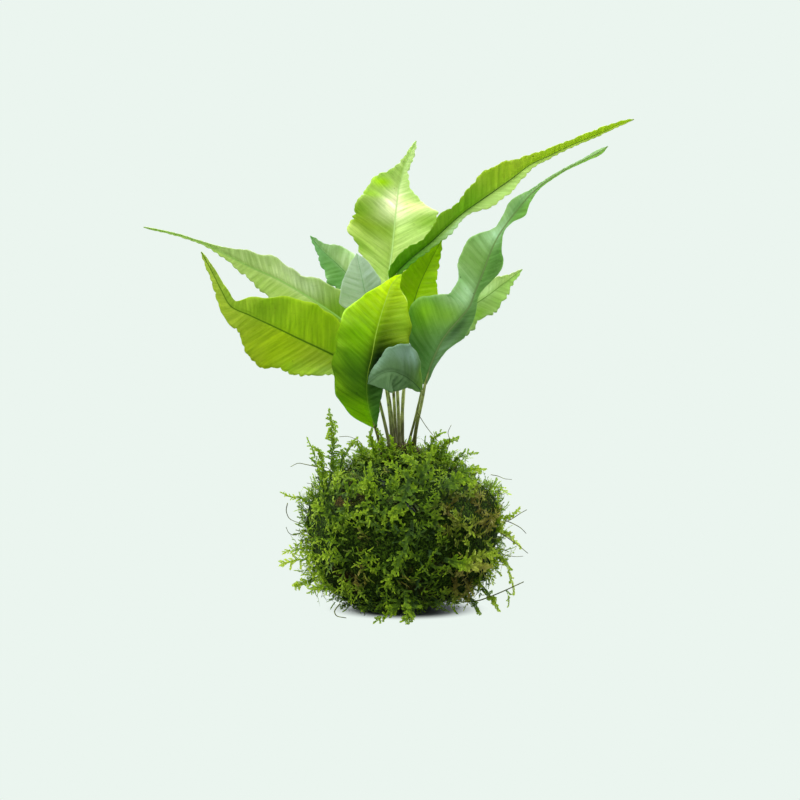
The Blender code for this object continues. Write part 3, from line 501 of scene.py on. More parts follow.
def patched(places):
    """How much lighter the moss is at these places, and how brown. Part of the lighter is painted light and
    part of the darker painted shade: the moss is lighter at the sides of the ball, with painted rim light,
    and darker on top and at the ground, where it is older and painted shade stands for the shade under the
    ball."""
    light, brown = np.zeros(len(places)), np.zeros(len(places))
    for place, reach, lighter, browner in MOSS_PATCHES:
        share = np.exp(-(((places - place) ** 2).sum(1) / reach**2))
        light += lighter * share
        brown += browner * share
    cloudy = np.array([noise.noise(Vector(place / CLOUD + 20)) for place in places])
    # Painted light and shade: lighter towards the left and right rims, darker low by the ground and on top.
    low = np.clip((9 - places[:, 2]) / 9, 0, 1)
    high = np.clip((places[:, 2] - 46) / 8, 0, 1)
    outer = np.clip((abs(places[:, 0]) - 20) / 12, 0, 1)
    light += 0.2 * cloudy + 0.16 * outer - 0.3 * low - 0.07 * high
    return light, brown + 0.5 * np.clip(-cloudy, 0, 1) + 0.2 * low


def spread(name, unit_twig, rows):
    """One mesh with a copy of the twig for each row, bent a little towards its tip."""
    origins, ways, ups, sizes, widths, starts, ends, tones = rows
    holder = bpy.data.objects.new(name, unit_twig.copy())
    bpy.context.scene.collection.objects.link(holder)
    copies = holder.modifiers.new("copies", "ARRAY")
    copies.count = len(origins)
    copies.use_relative_offset = False
    mesh = evaluated(holder)
    corners = np.empty(3 * len(unit_twig.vertices))
    unit_twig.vertices.foreach_get("co", corners)
    x, y, z = corners.reshape(-1, 3).T
    leaves = np.empty(len(unit_twig.vertices))
    unit_twig.attributes["leaf"].data.foreach_get("value", leaves)
    sides = unit(np.cross(ups, ways))
    ups = np.cross(ways, sides)
    bend = draw.normal(*TWIG_BEND, (2, len(origins), 1)) * x**2
    length, width = sizes[:, None], widths[:, None]
    shape = (
        origins[:, None]
        + (length * x)[..., None] * ways[:, None]
        + (width * y + length * bend[0])[..., None] * sides[:, None]
        + (width * z - length * bend[1])[..., None] * ups[:, None]
    )
    shape[..., 2] = np.maximum(shape[..., 2], LOWEST_LEAF)
    mesh.vertices.foreach_set("co", (shape * MM).ravel())
    light, brown = patched(origins)
    # Painted glints and shade, leaf by leaf: the flicker lights some leaves and darkens others, and lights each
    # leaf towards its edge, away from the shaded stem. The patches add painted rim light and shade.
    order = np.arange(len(origins))[:, None]
    flicker = np.sin(2.4 * leaves[None] ** 2 + 1.7 * order) + 0.8 * (abs(y) / abs(y).max())[None]
    growth_and_painted_light = starts[:, None] + (ends - starts)[:, None] * np.clip(x, 0, 1) + light[:, None] + 0.17 * flicker
    tone = np.repeat(tones[:, None], len(x), axis=1)
    brown = np.repeat(brown[:, None], len(x), axis=1)
    for label, values in (("growth_and_painted_light", growth_and_painted_light), ("tone", tone), ("brown", brown)):
        mesh.attributes.new(label, "FLOAT", "POINT").data.foreach_set("value", values.ravel())
    mesh.attributes.remove(mesh.attributes["leaf"])
    mesh.update()
    return mesh


def tuft_of(places):
    """The name of the tuft that each place on the ball belongs to."""
    names = []
    signs = [(a, b, c) for a in (1, -1) for b in (1, -1) for c in (1, -1)]
    sides = [sign for sign in signs if abs(sum(sign)) == 1]
    for way in places - BALL_CENTRE:
        sign = tuple(1 if way @ corner > 0 else -1 for corner in crossings)
        if sum(sign) == 3:
            round_top = (math.degrees(math.atan2(way[1], way[0])) - FIRST_CROSSING_DEG) % 360
            names.append(f"moss_collar_{int(round_top // 120) + 1}")
        elif sum(sign) == -3:
            names.append("moss_foot")
        else:
            names.append(f"moss_side_{sides.index(sign) + 1}")
    return np.array(names)


def even_roots(count, jitter):
    """Directions spread evenly over the ball."""
    order = np.arange(count) + 0.5
    height = 1 - 2 * order / count
    turn = math.pi * (1 + math.sqrt(5)) * order
    flat = np.sqrt(1 - height**2)
    ways = np.column_stack([flat * np.cos(turn), flat * np.sin(turn), height])
    return unit(ways + draw.normal(0, jitter, ways.shape))


def shoots(count, length, rise, level, branch_length, stem_parts, branches, lift, tones):
    """Rows of twigs for this many shoots all over the ball. Length, lift from the core and tone are drawn
    from their ranges, and so are rise and level: how steeply a shoot leaves the ball and ends, in degrees.
    Shoots lie flatter where the ball rounds over to its top and to its underside."""
    ways = even_roots(count, 0.06)
    depth = draw.uniform(*lift, count) + felt_lift(ways) - FELT_LIFT
    roots = np.empty_like(ways)
    normals = np.empty_like(ways)
    for number, (way, deep) in enumerate(zip(ways, depth)):
        spot, normal = over_core(way, deep)
        roots[number], normals[number] = spot[0], normal[0]
    in_crown = (crown_share(roots) < CROWN_SHARE) & (ways[:, 2] > 0)
    on_sole = (np.hypot(roots[:, 0], roots[:, 1]) < SOLE_RADIUS) & (ways[:, 2] < 0)
    keep = ~(in_crown | on_sole)
    roots, normals, depth = roots[keep], normals[keep], depth[keep]
    pull = np.zeros_like(roots)
    pull[:, 2] = np.where(roots[:, 2] > HANG_BELOW, LEAN_UP, LEAN_DOWN)
    headings = draw.normal(0, 1, roots.shape) + pull
    headings = unit(headings - (headings * normals).sum(1, keepdims=True) * normals)
    many = len(roots)
    lengths = draw.uniform(*length, many)
    lengths[(roots[:, 0] > TRIMMED[0]) & (roots[:, 2] > TRIMMED[1])] *= TRIMMED[2]
    low = roots[:, 2] < LOW_SHOOTS[0]
    off_level = (roots[:, 2] - BALL_CENTRE[2]) / BALL_HALF
    rounding = np.exp(-(((off_level - 0.75) / 0.22) ** 2)) + 0.6 * np.exp(-(((off_level + 0.75) / 0.22) ** 2))
    rises = np.radians(draw.uniform(*rise, many)) * np.where(low, LOW_SHOOTS[1], 1.0) * (1 - 0.55 * rounding)
    levels = np.radians(draw.uniform(*level, many))
    swing = np.radians(draw.uniform(-85, 85, many))
    places, steps = arching(roots, normals, headings, lengths, rises, levels, swing)
    tone = draw.uniform(*tones, many)
    return twigs_on(places, steps, normals, lengths, stem_parts, branches, branch_length, tone)


def core_top(x, y):
    """How high the top of the core is at this place."""
    share = np.minimum(np.hypot(x, y) / CORE_SIZE[0], 0.999)
    return BALL_CENTRE[2] + CORE_SIZE[1] * (1 - share**SQUARENESS) ** (1 / SQUARENESS)


def crown_shoots(count):
    """Rows of twigs for the shoots round the rhizome, which stand up between the stalks and lean over it."""
    bearing = draw.uniform(0, 2 * math.pi, count)
    out = draw.uniform(0.72, 1.2, count)
    flat = np.column_stack([CROWN[0] * out * np.cos(bearing), CROWN[1] * out * np.sin(bearing)])
    roots = np.column_stack([flat, core_top(flat[:, 0], flat[:, 1]) + 0.6])
    normals = unit(np.tile((0.0, 0.0, 1.0), (count, 1)) + 0.25 * unit(roots - BALL_CENTRE))
    headings = draw.normal(0, 1, roots.shape)
    headings[:, :2] += 0.7 * unit(flat) * draw.choice([-1, 1], (count, 1))
    headings = unit(headings - (headings * normals).sum(1, keepdims=True) * normals)
    lengths = draw.uniform(6.0, 10.5, count) * np.where(abs(flat[:, 0]) < 12, 1.15, 0.8)
    rises = np.radians(draw.uniform(45, 85, count))
    levels = np.radians(draw.uniform(0, 55, count))
    places, steps = arching(roots, normals, headings, lengths, rises, levels, np.zeros(count))
    return twigs_on(places, steps, normals, lengths, 3, 7, 2.7, draw.uniform(0, 0.8, count))


# Shoots that stand clear of the ball or lie plain over it, root to tip, with the length of their side
# branches and how dark they are, from 0 to 1.
CLEAR_SHOOTS = (
    ((-23.5, -6.0, 43.0), (-23.2, -5.5, 52.0), (-23.0, -5.0, 60.0), (-24.8, -5.0, 67.5), 3.4, 0.0),
    ((-27.0, -4.0, 43.0), (-28.5, -3.0, 49.0), (-30.0, -2.0, 53.5), (-32.0, -1.0, 57.5), 2.6, 0.1),
    ((-21.0, -8.0, 48.0), (-19.0, -9.0, 53.0), (-17.5, -9.0, 56.5), (-15.0, -9.0, 58.5), 2.6, 0.3),
    ((-25.0, -10.0, 40.0), (-26.5, -11.0, 46.5), (-26.8, -11.0, 52.0), (-28.5, -11.0, 56.0), 3.0, 0.0),
    ((-26.5, -7.0, 36.0), (-33.0, -9.0, 38.0), (-37.0, -9.5, 38.6), (-40.5, -10.0, 40.5), 2.4, 0.0),
    ((-29.0, -7.0, 19.0), (-34.0, -8.5, 18.0), (-38.0, -9.0, 17.0), (-41.0, -9.5, 16.5), 3.4, 0.0),
    ((-29.5, -6.0, 21.0), (-34.0, -7.0, 21.5), (-37.5, -7.5, 21.0), (-40.0, -8.0, 20.0), 3.0, 0.0),
    ((-28.0, -10.0, 12.0), (-31.5, -12.0, 11.0), (-34.5, -12.0, 9.5), (-36.5, -12.0, 9.5), 2.8, 0.0),
    ((0.5, -24.5, 9.0), (-1.5, -29.0, 6.0), (-5.0, -32.0, 3.4), (-9.5, -34.0, 1.4), 3.4, 0.0),
    ((1.5, -27.0, 9.5), (3.0, -31.0, 5.5), (2.0, -33.0, 2.4), (-0.5, -34.5, 1.2), 3.2, 0.0),
    ((0.0, -26.0, 12.5), (0.8, -30.5, 9.5), (1.0, -33.0, 5.5), (3.0, -34.0, 2.0), 2.6, 0.05),
    ((28.5, -7.0, 20.0), (33.5, -7.5, 18.0), (35.8, -8.0, 13.0), (37.2, -8.0, 6.0), 1.5, 0.0),
    ((29.0, -6.0, 30.0), (33.5, -6.5, 31.5), (36.5, -7.0, 32.5), (39.0, -7.0, 34.5), 1.8, 0.1),
    ((28.5, -5.0, 28.0), (33.5, -5.0, 27.0), (37.0, -5.5, 24.0), (39.5, -6.0, 21.5), 1.6, 0.2),
    ((26.0, -12.0, 9.0), (29.0, -13.0, 6.5), (30.5, -13.5, 4.0), (31.0, -13.5, 1.2), 2.0, 0.0),
    ((22.0, -14.0, 6.0), (23.5, -15.5, 4.0), (24.0, -16.0, 2.4), (25.5, -16.5, 0.8), 2.2, 0.0),
    ((34.0, -12.9, 8.5), (34.8, -13.0, 6.5), (35.2, -13.0, 4.5), (34.6, -13.0, 2.6), 1.5, 0.1),
    ((-12.0, -8.0, 50.0), (-13.0, -9.0, 54.0), (-15.0, -9.5, 56.5), (-18.5, -10.0, 57.0), 2.6, 0.0),
    ((-9.0, -8.0, 51.0), (-9.5, -9.0, 55.0), (-11.5, -9.5, 58.5), (-10.0, -10.0, 61.5), 2.0, 0.0),
    ((-6.0, -9.0, 51.0), (-6.5, -10.0, 55.0), (-7.0, -10.5, 59.0), (-8.5, -11.0, 62.0), 2.2, 0.05),
    ((-3.5, -9.5, 51.0), (-4.0, -10.5, 54.0), (-3.0, -11.0, 57.0), (-4.0, -11.0, 59.5), 2.0, 0.1),
    ((8.0, -7.0, 51.0), (8.5, -8.0, 55.0), (10.5, -8.5, 58.5), (13.0, -9.0, 61.0), 2.4, 0.0),
    ((12.0, -7.0, 51.0), (12.5, -8.0, 55.0), (15.0, -8.5, 57.5), (18.5, -9.0, 58.0), 2.4, 0.1),
    ((16.0, -8.0, 49.0), (18.0, -9.0, 52.0), (21.0, -9.5, 53.5), (24.5, -10.0, 53.0), 2.2, 0.05),
    ((2.0, -9.0, 51.0), (2.5, -9.5, 54.0), (2.0, -10.0, 56.5), (3.0, -10.0, 58.5), 1.8, 0.2),
    ((-10.5, -24.0, 38.0), (-11.0, -27.0, 43.0), (-10.8, -26.5, 48.0), (-10.5, -24.0, 52.5), 2.3, 0.0),
    ((5.0, -26.5, 45.0), (1.0, -26.5, 48.0), (-3.0, -25.5, 51.0), (-6.5, -24.5, 52.2), 2.4, 0.0),
    ((6.5, -26.5, 44.5), (6.0, -26.0, 49.0), (2.5, -25.0, 52.8), (-0.5, -23.5, 54.0), 2.8, 0.0),
    ((5.5, -26.5, 45.0), (7.5, -26.0, 49.5), (8.8, -24.5, 53.2), (9.6, -22.5, 57.0), 3.4, 0.0),
    ((-26.0, -20.0, 31.0), (-21.0, -26.0, 33.0), (-16.0, -30.0, 35.5), (-11.0, -32.0, 36.5), 2.8, 0.0),
    ((-10.0, -31.0, 36.0), (-7.0, -33.0, 36.5), (-3.0, -34.0, 36.0), (1.0, -34.5, 36.5), 2.6, 0.1),
    ((3.0, -33.0, 34.0), (1.5, -35.0, 27.0), (-2.0, -35.5, 20.0), (-5.5, -34.5, 12.5), 3.2, 0.1),
    ((2.0, -29.0, 47.0), (1.0, -31.5, 42.0), (-1.5, -33.0, 37.5), (-4.5, -34.0, 34.0), 4.4, 0.2),
    ((18.0, -27.0, 19.0), (22.5, -26.5, 21.0), (26.5, -23.0, 21.5), (31.0, -19.0, 20.5), 3.4, 0.0),
    ((13.0, -31.0, 21.0), (18.0, -31.0, 20.0), (23.5, -28.0, 18.0), (28.5, -24.0, 17.5), 3.2, 0.0),
    ((17.0, -18.0, 46.0), (20.0, -18.5, 49.0), (23.0, -18.0, 49.5), (26.5, -17.0, 48.0), 3.2, 0.1),
    ((12.0, -26.0, 43.0), (16.0, -26.0, 46.0), (20.0, -24.0, 46.5), (24.0, -22.0, 44.5), 3.4, 0.15),
    ((26.0, 0.0, 40.0), (30.0, -2.0, 42.0), (32.5, -4.0, 41.5), (35.0, -6.0, 38.5), 3.0, 0.05),
    ((-22.0, -22.0, 10.0), (-26.0, -23.0, 11.5), (-29.0, -21.5, 10.5), (-31.0, -20.0, 7.5), 3.2, 0.0),
    ((-17.0, -27.0, 20.0), (-21.0, -27.5, 22.0), (-25.0, -25.0, 22.0), (-28.5, -22.0, 19.5), 3.2, 0.0),
    ((-20.0, -22.0, 40.0), (-17.0, -25.0, 43.5), (-13.5, -26.0, 45.0), (-9.5, -26.5, 44.5), 3.0, 0.2),
    ((-8.0, 22.0, 46.0), (-9.0, 27.0, 49.0), (-10.0, 30.0, 52.0), (-11.5, 32.0, 55.5), 3.8, 0.1),
    ((14.0, 25.0, 38.0), (16.0, 30.0, 40.0), (18.0, 33.0, 40.5), (20.5, 35.0, 39.5), 3.2, 0.1),
    ((-18.0, 24.0, 22.0), (-21.0, 28.0, 20.5), (-24.0, 31.0, 17.5), (-26.5, 33.0, 13.0), 3.2, 0.1),
    ((4.0, 28.0, 12.0), (5.0, 32.0, 9.0), (6.5, 34.5, 5.0), (8.0, 35.5, 1.8), 3.0, 0.0),
    ((25.0, 14.0, 30.0), (29.0, 17.0, 33.0), (31.0, 19.0, 36.5), (32.0, 20.0, 41.0), 3.0, 0.1),
    ((-6.0, 27.0, 34.0), (-2.0, 31.0, 32.0), (3.0, 33.0, 28.0), (7.0, 33.5, 22.0), 3.4, 0.05),
)


def eased(path, count):
    """A line of this many points through the given ones, with its bends eased."""
    path = np.array(path, float)
    fine, given = np.linspace(0, 1, count), np.linspace(0, 1, len(path))
    line = np.column_stack([np.interp(fine, given, path[:, axis]) for axis in range(3)])
    line[1:-1] = (line[:-2] + 2 * line[1:-1] + line[2:]) / 4
    return line


def clear_shoots():
    """Rows of twigs for the shoots of the list."""
    parts = []
    for *path, branch_length, tone in CLEAR_SHOOTS:
        line = eased(path, CLEAR_STATIONS)
        places = line[:, None, :]
        steps = unit(np.gradient(line, axis=0))[:, None, :]
        middle, along_middle = line[CLEAR_STATIONS // 2], steps[CLEAR_STATIONS // 2, 0]
        outward = unit(middle - BALL_CENTRE) + np.array((0.0, -0.8 if middle[1] < 5 else 0.8, 0.2))
        length = np.array([np.linalg.norm(np.diff(line, axis=0), axis=1).sum()])
        normals = unit(outward - (outward @ along_middle) * along_middle)[None]
        branches = int(length[0] / BRANCH_SPACING)
        stems = max(3, int(length[0] / STEM_PART))
        shoot = places, steps, normals, length, stems, branches, branch_length, np.array([tone])
        parts.append(twigs_on(*shoot, plumpness=CLEAR_PLUMPNESS))
    return [np.concatenate(column) for column in zip(*parts)]


big = shoots(
    MAIN_SHOOTS,
    length=(8.0, 13.0),
    rise=(20, 52),
    level=(-14, 20),
    branch_length=2.4,
    stem_parts=5,
    branches=9,
    lift=(1.8, 3.6),
    tones=(0.0, 0.8),
)
small = shoots(
    SMALL_SHOOTS,
    length=(4.0, 7.5),
    rise=(12, 78),
    level=(-15, 40),
    branch_length=1.9,
    stem_parts=2,
    branches=2,
    lift=(2.2, 3.8),
    tones=(0.2, 1.0),
)
rows = [np.concatenate(column) for column in zip(big, small, crown_shoots(CROWN_SHOOTS), clear_shoots())]
rows[0], rows[1] = fit_on_ground(rows[0], rows[1], rows[3])


def maths(tree, operation, first, second=0.0, third=0.0):
    """One sum on numbers or sockets."""
    made = put(tree, "ShaderNodeMath", {0: first, 1: second, 2: third}, operation=operation)
    return made.outputs[0]


def kept(tree, label, kind="Fac"):
    """What the mesh keeps at each of its points under this label."""
    return put(tree, "ShaderNodeAttribute", {}, attribute_name=label).outputs[kind]


def thin_coat(tree, output, colour, roughness, glow, share, normal=None):
    """Gives the material a thin living surface: this share of it glows with the light from behind."""
    relief = {} if normal is None else {"Normal": normal}
    feeds = {"Base Color": colour, "Roughness": roughness, "Specular IOR Level": 0.12, **relief}
    body = put(tree, "ShaderNodeBsdfPrincipled", feeds)
    behind = put(tree, "ShaderNodeBsdfTranslucent", {"Color": glow, **relief})
    both = put(tree, "ShaderNodeMixShader", {0: share, 1: body.outputs[0], 2: behind.outputs[0]})
    tree.links.new(both.outputs[0], output.inputs[0])


# The moss runs from near black at the roots of its shoots, painted shade deep in the tufts, to light at their
# tips, with painted rim light from the patches; the fine mottle adds painted glints leaf by leaf.
moss, tree, output = material("living_moss")
growth_and_painted_light, tone, brown = kept(tree, "growth_and_painted_light"), kept(tree, "tone"), kept(tree, "brown")
mottle = grain(tree, place_in(tree), 1500.0, 2.0, 0.6)[0]
height = maths(tree, "MULTIPLY_ADD", mottle, 0.4, maths(tree, "MULTIPLY_ADD", growth_and_painted_light, 0.58, -0.09))
greens = ramp(
    tree,
    height,
    [
        (0.0, seen(20, 33, 22)),
        (0.25, seen(62, 92, 36)),
        (0.5, seen(108, 144, 38)),
        (0.75, seen(160, 192, 40)),
        (1.0, seen(208, 226, 84)),
    ],
)
teals = ramp(tree, height, [(0.0, seen(14, 26, 20)), (0.5, seen(58, 90, 48)), (1.0, seen(124, 160, 78))])
browns = ramp(tree, height, [(0.0, seen(36, 31, 12)), (0.45, seen(118, 108, 44)), (0.9, seen(178, 172, 92))])
mixed = blend(tree, ramp(tree, tone, [(0.58, (0, 0, 0)), (0.9, (1, 1, 1))]), greens, teals)
patchy = maths(tree, "MULTIPLY_ADD", tone, 0.3, brown)
old = ramp(tree, patchy, [(0.45, (0, 0, 0)), (0.85, (1, 1, 1))])
colour = blend(tree, old, mixed, browns)
thin_coat(tree, output, colour, 0.55, blend(tree, 0.4, colour, seen(206, 228, 30)), 0.48)

twig_mesh = twig("moss_twig")
owners = tuft_of(rows[0])
for name in sorted(set(owners)):
    chosen = [column[owners == name] for column in rows]
    mesh = spread(name + "_shoots", twig_mesh, chosen)
    ride_as(add_piece(name + "_shoots", mesh, moss), "moss", name)


# Bare stems: thin dark stems of moss without leaves that stray out of the ball here and there, and one
# runner that sprigs hang from. Each row is a stem from root to tip, with its radius.
STRAY_STEMS = 70
STRAY_STATIONS = 9
BARE_STEMS = (
    ((15.0, -16.0, 5.0), (24.0, -13.5, 4.4), (31.5, -13.0, 7.2), (39.8, -12.5, 11.0), 0.32),
    ((4.6, -11.0, 67.0), (7.4, -12.0, 62.5), (10.2, -13.0, 59.0), (13.5, -13.5, 55.5), 0.17),
    ((-21.0, -8.0, 58.6), (-18.0, -9.0, 58.9), (-14.5, -10.0, 57.6), (-12.5, -12.0, 55.0), 0.12),
    ((-38.2, -8.0, 36.6), (-38.8, -8.0, 34.0), (-37.8, -8.0, 31.2), (-33.5, -8.0, 29.6), 0.2),
    ((-33.5, -6.0, 26.5), (-36.5, -6.5, 25.5), (-38.0, -7.0, 26.5), (-38.8, -7.0, 28.5), 0.17),
    ((33.0, -8.0, 30.0), (36.0, -8.0, 31.2), (38.5, -8.0, 33.0), (41.0, -8.0, 34.4), 0.2),
    ((33.5, -8.0, 31.0), (37.0, -8.0, 29.5), (39.2, -8.0, 28.2), (40.8, -8.0, 26.4), 0.2),
    ((32.5, -8.0, 26.6), (36.0, -8.0, 24.0), (38.6, -8.0, 22.2), (41.4, -8.0, 19.8), 0.2),
    ((31.0, -9.0, 20.0), (34.0, -9.0, 19.4), (37.0, -9.0, 18.8), (39.8, -9.0, 19.0), 0.15),
    ((29.0, -8.0, 46.0), (31.5, -8.0, 45.6), (33.5, -8.0, 44.6), (36.0, -8.0, 44.4), 0.15),
    ((-20.5, -20.0, 5.0), (-22.6, -20.5, 2.6), (-21.8, -21.0, 0.9), (-18.5, -21.5, 0.5), 0.28),
    ((-28.0, -12.0, 49.0), (-32.0, -12.0, 49.8), (-34.5, -12.0, 50.4), (-37.0, -12.0, 49.0), 0.18),
    ((14.5, -14.0, 55.0), (15.5, -14.0, 58.0), (14.5, -14.0, 60.4), (15.8, -14.0, 63.0), 0.16),
)
lines = []
for *path, radius in BARE_STEMS:
    line = eased(path, 11)
    lines.append(np.column_stack([line, np.linspace(0.8 * radius, 0.5 * radius, len(line))]))
ways = even_roots(STRAY_STEMS, 0.1)
sizes = draw.uniform(3.5, 8.0, STRAY_STEMS), draw.uniform(0.08, 0.14, STRAY_STEMS)
for way, length, radius in zip(ways, *sizes):
    spot, normal = over_core(way, 2.5)
    if way[2] < -0.6 or (way[2] > 0.8 and crown_share(spot)[0] < 1.1):
        continue
    out = unit(normal[0] + draw.normal(0, 0.55, 3))
    curl = np.cross(out, unit(draw.normal(0, 1, 3)))
    reach = np.linspace(0, 1, STRAY_STATIONS)
    line = spot[0] + length * (reach[:, None] * out + 0.3 * np.sin(2.6 * reach)[:, None] ** 2 * curl)
    line[:, 2] = np.maximum(line[:, 2], 0.4)
    lines.append(np.column_stack([line, np.full(STRAY_STATIONS, radius)]))
mesh = round_bars("moss_bare_stems", lines, 4)

bare, tree, output = material("bare_moss_stem")
mottle, relief = grain(tree, place_in(tree), 800.0, strength=0.3, depth=0.1)
colour = ramp(tree, mottle, [(0.35, seen(44, 46, 16)), (0.55, seen(90, 98, 36)), (0.75, seen(132, 142, 62))])
coat(tree, output, colour, 0.7, relief, shine=0.1)
ride_as(add_piece("moss_bare_stems", mesh, bare), "moss")


# Rhizome: the creeping stem of the fern, dark brown and scaly, laid on the bare top of the core. The stalks
# stand on it, and its wiry roots run into the moss. Each row of the axis is x, y, a height that the core
# gives, radius.
RHIZOME_AXIS = (
    (-8.8, -4.4, 0.0, 1.7),
    (-6.2, -3.4, 0.0, 2.6),
    (-3.4, -1.9, 0.0, 3.3),
    (0.0, -1.2, 0.0, 3.4),
    (4.0, -2.3, 0.0, 2.9),
    (7.6, -2.6, 0.0, 1.8),
)
RHIZOME_STATIONS = 60
RHIZOME_GAP = 0.3  # between it and the core
SCALINESS = 0.06  # how much its girth swells and shrinks from scale to scale
ROOTS = 34
ROOT_STEPS = 14
ROOT_RADIUS = (0.32, 0.14)  # at the rhizome and at the tip


def along(rows, shares):
    """Rows at these shares of a smooth curve through the given rows, which start with x, y and z."""
    rows = np.array(rows, float)
    steps = np.linalg.norm(np.diff(rows[:, :3], axis=0), axis=1)
    reach = np.concatenate([[0.0], np.cumsum(steps)])
    slope = np.gradient(rows, reach, axis=0)
    at = np.asarray(shares, float) * reach[-1]
    first = np.clip(np.searchsorted(reach, at, side="right") - 1, 0, len(reach) - 2)
    step = (reach[first + 1] - reach[first])[:, None]
    s = (at - reach[first])[:, None] / step
    return (
        (2 * s**3 - 3 * s**2 + 1) * rows[first]
        + (s**3 - 2 * s**2 + s) * step * slope[first]
        + (3 * s**2 - 2 * s**3) * rows[first + 1]
        + (s**3 - s**2) * step * slope[first + 1]
    )


rows = along(RHIZOME_AXIS, np.linspace(0, 1, RHIZOME_STATIONS))
scales = 1 + SCALINESS * np.sin(np.arange(RHIZOME_STATIONS) * 1.9)
rows[:, 2] = core_top(rows[:, 0], rows[:, 1]) + rows[:, 3] + RHIZOME_GAP
rows[:, 3] *= scales
lines = [rows]
chance = random.Random(12)
for number in range(ROOTS):
    bearing = chance.uniform(0, 2 * math.pi)
    start = rows[chance.randrange(6, RHIZOME_STATIONS - 6)]
    far = chance.uniform(8, 19)
    steps = np.linspace(0, 1, ROOT_STEPS)
    curl = chance.uniform(-2.5, 2.5)
    root_x = start[0] + far * steps * math.cos(bearing) - curl * np.sin(2.4 * steps) * math.sin(bearing)
    root_y = start[1] + far * steps * math.sin(bearing) + curl * np.sin(2.4 * steps) * math.cos(bearing)
    hop = 0.5 + start[3] * (1 - steps) ** 2 + 2.6 * chance.random() * np.sin(math.pi * steps)
    root_z = core_top(root_x, root_y) + hop
    lines.append(np.column_stack([root_x, root_y, root_z, np.linspace(*ROOT_RADIUS, ROOT_STEPS)]))
mesh = round_bars("rhizome_scaly", lines, 8)

bark, tree, output = material("rhizome_scales")
place = place_in(tree)
flakes = put(tree, "ShaderNodeTexVoronoi", {"Vector": place, "Scale": 900.0}, distance="EUCLIDEAN")
rough_bark = grain(tree, place, 500.0, 5.0, 0.7)[0]
colour = ramp(tree, rough_bark, [(0.3, seen(26, 20, 10)), (0.5, seen(66, 58, 26)), (0.7, seen(110, 104, 48))])
shade = ramp(tree, flakes.outputs["Distance"], [(0.2, (1, 1, 1)), (0.6, (0.3, 0.3, 0.3))])
colour = blend(tree, 0.55, colour, shade, "MULTIPLY")
height = maths(tree, "ADD", rough_bark, flakes.outputs["Distance"])
relief = put(tree, "ShaderNodeBump", {"Height": height, "Strength": 0.8, "Distance": 0.4 * MM})
coat(tree, output, colour, 0.75, relief.outputs[0], shine=0.12)
ride_as(add_piece("rhizome_scaly", mesh, bark), "rhizome", "rhizome")
